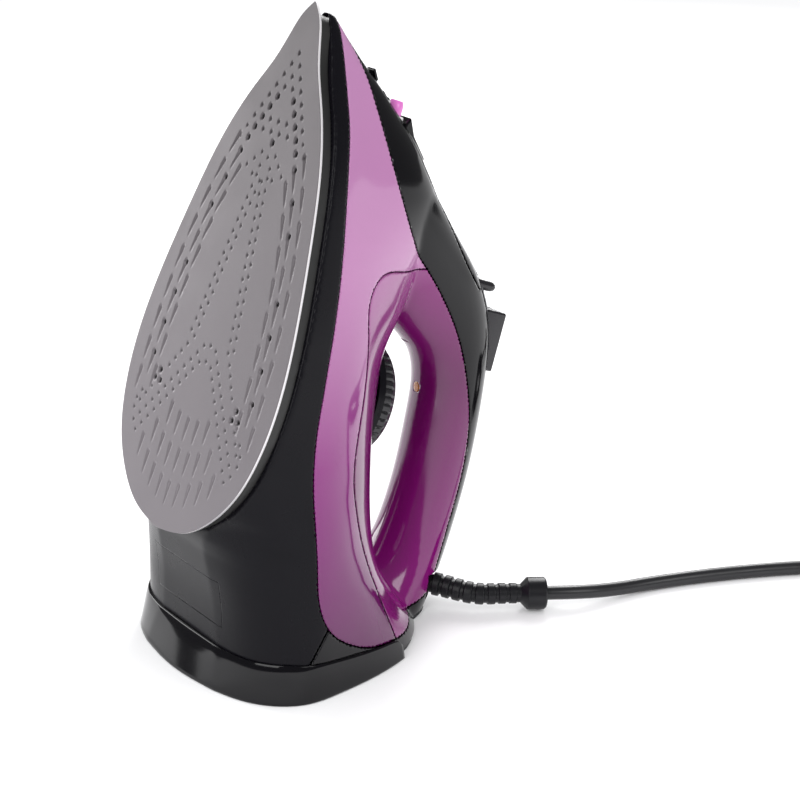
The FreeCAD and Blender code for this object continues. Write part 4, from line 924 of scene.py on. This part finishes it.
# --- cord guard and cord ------------------------------------------------------------------------
# A rubber guard with ribs and a bell swings on the heel. The cord runs from it across the surface
# into a tied coil of two layers and on to the plug.
GUARD_ROUTE = np.array([(118, 0, 12.5), (137, -13.5, 12), (152, -31, 9.3)], dtype=float)
CORD_ROUTE = [(193, -53, 7.6), (213, -55, 4.6), (235, -57.5, 3.4), (260, -65, 3.4),
              (285, -74.5, 3.4), (309, -86, 3.4), (333, -100, 3.4), (357, -113.1, 3.4),
              (378.9, -122.9, 3.4)]
LEAD_ROUTE = [(443, -70, 10.0), (443, -51, 10.8), (447, -31, 15), (456, -13, 17.9), (468, 3, 18.1)]
GUARD_REACH, GUARD_CORE, GUARD_RIBS, FIRST_RIB, RIB_PITCH = 31.0, 4.3, 8, 25.8, 5.2
BELL_LENGTH, BELL_RADIUS, BELL_LIP = 9.0, 7.6, 6.9
last_way = np.array(CORD_ROUTE[0]) - GUARD_ROUTE[-1]
last_way /= np.linalg.norm(last_way)
mouth = GUARD_ROUTE[-1] + last_way * GUARD_REACH
guard_line = curve_through(np.vstack((GUARD_ROUTE, GUARD_ROUTE[-1] + last_way * 10,
                                      GUARD_ROUTE[-1] + last_way * 21, mouth)), 700)
run = np.concatenate(([0], np.cumsum(np.linalg.norm(np.diff(guard_line, axis=0), axis=1))))
radii = np.full(len(run), GUARD_CORE)
for k in range(GUARD_RIBS):
    middle = FIRST_RIB + RIB_PITCH * k
    on = np.clip((1.85 - np.abs(run - middle)) / 0.5, 0, 1)
    radii = np.maximum(radii, GUARD_CORE + (1.15 - 0.09 * k) * np.sqrt(on * (2 - on)))
bell_start = run[-1] - BELL_LENGTH
radii = np.maximum(radii, np.interp(run, [bell_start - 3.0, bell_start + 0.2, run[-1] - 0.8,
                                          run[-1]],
                                    [GUARD_CORE, BELL_RADIUS, BELL_RADIUS, BELL_LIP])
                   * (run > bell_start - 3))
guard = swept("guard_boot", guard_line, radii)
drum = turned("guard_drum", [(2.4, 4.6), (2.4, 7.1), (5.4, 7.1), (5.9, 7.6), (5.9, 17.4),
                             (5.4, 17.9), (2.4, 17.9), (2.4, 20.4)], (118, 0, 0), (0, 0, 1),
              place=on_surface, count=64)
rubber = moulding_finish("rubber_black", (0.007, 0.007, 0.009), 0.3, 0.4, depth=0.1)
set_surface(rubber, "Specular IOR Level", 0.3)
dress(guard, rubber, "cord", "cord_black", "cord_guard")
dress(drum, rubber, "cord", "cord_black")

COIL_CENTRE = (398.0, -80.0)
LOW_TURNS, CLIMB_TURNS, HIGH_TURNS, PER_TURN = 2.9, 0.25, 2.1667, 24
COIL_START, COIL_WIDEST, COIL_NARROWEST = math.radians(-114), 47.0, 26.0
LOW_HEIGHT, LAYER_RISE, CLIMB_SPREAD, HIGH_SPREAD = 3.4, 6.65, 3.5, 15.5
cord_line = [tuple(mouth)] + CORD_ROUTE[:-1]
total = LOW_TURNS + CLIMB_TURNS + HIGH_TURNS
for k in range(round(total * PER_TURN)):
    turn = k / PER_TURN
    angle = COIL_START + 2 * math.pi * turn
    if turn < LOW_TURNS:
        radius = COIL_WIDEST - (COIL_WIDEST - COIL_NARROWEST) * turn / LOW_TURNS
        height = LOW_HEIGHT
    else:
        climb = min(1.0, (turn - LOW_TURNS) / CLIMB_TURNS)
        outward = max(0.0, turn - LOW_TURNS - CLIMB_TURNS) / HIGH_TURNS
        radius = COIL_NARROWEST + CLIMB_SPREAD * climb + HIGH_SPREAD * outward
        height = LOW_HEIGHT + LAYER_RISE * climb ** 2 * (3 - 2 * climb)
    cord_line.append((COIL_CENTRE[0] + radius * math.cos(angle),
                      COIL_CENTRE[1] + radius * math.sin(angle), height))
cord_line += [(443, -80, 10.0)] + LEAD_ROUTE
data = bpy.data.curves.new("cord", "CURVE")
data.dimensions = "3D"
data.bevel_depth = 0.0033
data.bevel_resolution = 6
data.resolution_u = 6
data.use_fill_caps = True
spline = data.splines.new("NURBS")
spline.points.add(len(cord_line) - 1)
for knot, place in zip(spline.points, on_surface(cord_line)):
    knot.co = (*place, 1)
spline.order_u = 3
spline.use_endpoint_u = True
cord = bpy.data.objects.new("cord", data)
bpy.context.scene.collection.objects.link(cord)
cord_black = moulding_finish("cord_black", (0.01, 0.01, 0.012), 0.3, 0.42, depth=0.1)
cord.data.materials.append(cord_black)
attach(cord, "cord")
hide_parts("mains_cord", "plug_lead", "cord_coil")

# plug: strain relief, body and round pins, lying on its rim
plug_start = np.array(LEAD_ROUTE[-1], dtype=float)
plug_way = plug_start - np.array(LEAD_ROUTE[-2])
plug_way /= np.linalg.norm(plug_way)
relief = [(4.5 + 0.145 * k + (0.5 if k % 3 == 1 else 0.0), 1.0 * k) for k in range(26)]
plug = turned("plug_grip", [(3.6, 0.0)] + relief + [(9.3, 25.2), (10.5, 26.2), (17.4, 32.2),
                                                    (17.9, 33.2), (17.9, 48.6), (17.2, 49.9)],
              plug_start, plug_way, place=on_surface)
dress(plug, rubber, "cord", "cord_black", "plug_body")
pin_metal = metal_finish("pin_metal", (0.75, 0.73, 0.7), 0.16, 0.24, 2500.0, 0.05)
sideways = np.array((-plug_way[1], plug_way[0], 0))
sideways /= np.linalg.norm(sideways)
pins = [turned("plug_pin_" + name, [(2.35, 50.05), (2.35, 66.5), (2.0, 68.0), (1.0, 68.9),
                                    (0.2, 68.95)],
               plug_start + sideways * shift, plug_way, place=on_surface, count=40)
        for name, shift in (("left", 9.5), ("right", -9.5))]
dress(pins[0], pin_metal, "cord", "pin_metal", "plug_pins")
dress(pins[1], pin_metal, "cord", "pin_metal")

# tie: a flat strap folded round the coil's section
strap = []
for reach, high, low, bend in ((1.0, 14.35, 0.0, 2.4), (0.35, 13.7, 0.0, 1.8)):
    y0, y1 = 22.5 - reach, 50.5 + reach
    corner = [(y1 - bend, high - bend, 0), (y0 + bend, high - bend, 90),
              (y0 + bend, low + bend, 180), (y1 - bend, low + bend, 270)]
    strap.append([(y + bend * math.cos(a), z + bend * math.sin(a)) for y, z, start in corner
                  for a in np.radians(np.linspace(start, start + 90, 7))])
loop = []
for (y_out, z_out), (y_in, z_in) in zip(*strap):
    z_in = max(z_in, 0.5)
    loop.append([(-6, y_out, z_out), (6, y_out, z_out), (6, y_in, z_in), (-6, y_in, z_in)])
tie_points = np.array(loop).reshape(-1, 3) + [[COIL_CENTRE[0], COIL_CENTRE[1], 0.1]]
count = len(loop)
tie_faces = [(4 * k + j, 4 * k + (j + 1) % 4, 4 * ((k + 1) % count) + (j + 1) % 4,
              4 * ((k + 1) % count) + j) for k in range(count) for j in range(4)]
tie = mesh_object("tie_strap", on_surface(tie_points), tie_faces)
tie.data.set_sharp_from_angle(angle=math.radians(35))
tie_black = moulding_finish("tie_black", (0.02, 0.02, 0.022), 0.35, 0.5, depth=0.2)
dress(tie, tie_black, "cord", "tie_black", "coil_tie")

# --- inner parts --------------------------------------------------------------------------------
# Casting, element, thermostat, pumps and fixings sit out of sight. Each has the finish that its
# material takes.
cast_aluminium = metal_finish("cast_aluminium", (0.55, 0.55, 0.56), 0.4, 0.55, 500.0, 0.3)
element_steel = metal_finish("element_steel", (0.42, 0.40, 0.38), 0.3, 0.4)
screw_steel = metal_finish("screw_steel", (0.5, 0.5, 0.5), 0.25, 0.35)
inner_plastic = moulding_finish("inner_plastic", (0.35, 0.34, 0.32), 0.35, 0.45, depth=0.1)
shield_black = moulding_finish("shield_black", (0.015, 0.015, 0.015), 0.4, 0.5, depth=0.2)
INNER = {"sole_casting": cast_aluminium, "heating_element": element_steel,
         "element_terminals": element_steel, "steam_chamber_cover": cast_aluminium,
         "valve_seat": inner_plastic, "heat_shield": shield_black,
         "thermostat_body": inner_plastic, "thermal_fuse": element_steel,
         "casting_screws": screw_steel, "swivel_cup": satin_black, "heel_screws": screw_steel,
         "thermostat_shaft": inner_plastic, "door_pin": screw_steel,
         "steam_plunger": inner_plastic, "spray_plunger": inner_plastic,
         "steam_pump": inner_plastic, "spray_pump": inner_plastic, "valve_rod": screw_steel,
         "terminal_block": inner_plastic, "cord_clamp": inner_plastic}
for name, finish in INNER.items():
    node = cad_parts[name]
    node.data.materials.clear()
    node.data.materials.append(finish)

# --- studio -------------------------------------------------------------------------------------
# A matt white floor that fades into a white surround, which polished faces see much darker. Soft
# lights stand on the left and in front, and two more behind.
floor = mesh_object("floor", [(-6, -6, 0), (6, -6, 0), (6, 6, 0), (-6, 6, 0)], [(0, 1, 2, 3)], False)
white = moulding_finish("studio_white", (0.86, 0.86, 0.87), 0.16, 0.2, depth=0.0)
floor.data.materials.append(white)
set_surface(white, "Specular IOR Level", 0.0)
floor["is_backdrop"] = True


def soft_light(name, place, aim, width, height, power):
    light = bpy.data.lights.new(name, "AREA")
    light.shape = "RECTANGLE"
    light.size, light.size_y, light.energy = width, height, power
    lamp = bpy.data.objects.new(name, light)
    lamp.location = place
    lamp.rotation_euler = (Vector(aim) - Vector(place)).to_track_quat("-Z", "Y").to_euler()
    bpy.context.scene.collection.objects.link(lamp)


soft_light("left_window", (-1.3, -0.5, 0.9), (0, 0, 0.15), 1.0, 1.2, 14)
soft_light("front_window", (0.5, -1.6, 1.0), (0, 0, 0.12), 0.9, 0.7, 8)
soft_light("far_window", (-0.45, 1.2, 0.55), (0, 0, 0.15), 0.5, 0.9, 8)
soft_light("back_strip", (0.9, 0.7, 0.9), (0, 0, 0.15), 0.3, 1.2, 12)
world = bpy.data.worlds.new("white_surround")
world.use_nodes = True
world_nodes = world.node_tree.nodes
rays, glow = world_nodes.new("ShaderNodeLightPath"), world_nodes.new("ShaderNodeMapRange")
glow.inputs["To Min"].default_value = 1.03
glow.inputs["To Max"].default_value = 0.16
world.node_tree.links.new(rays.outputs["Is Glossy Ray"], glow.inputs["Value"])
world.node_tree.links.new(glow.outputs["Result"], world_nodes["Background"].inputs["Strength"])
world_nodes["Background"].inputs["Color"].default_value = (1, 1, 1, 1)
bpy.context.scene.world = world
bpy.context.scene.view_settings.view_transform = "Standard"
lens = bpy.data.cameras.new("camera")
lens.lens, lens.sensor_width = 100.59, 36.0
camera = bpy.data.objects.new("camera", lens)
camera.location = (-0.4795, -0.7938, 0.44985)
AZIMUTH, ELEVATION = math.radians(34.5), math.radians(19.9)
look = Vector((math.sin(AZIMUTH) * math.cos(ELEVATION), math.cos(AZIMUTH) * math.cos(ELEVATION),
               -math.sin(ELEVATION)))
camera.rotation_euler = look.to_track_quat("-Z", "Y").to_euler()
bpy.context.scene.collection.objects.link(camera)
bpy.context.scene.camera = camera

low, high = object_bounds()
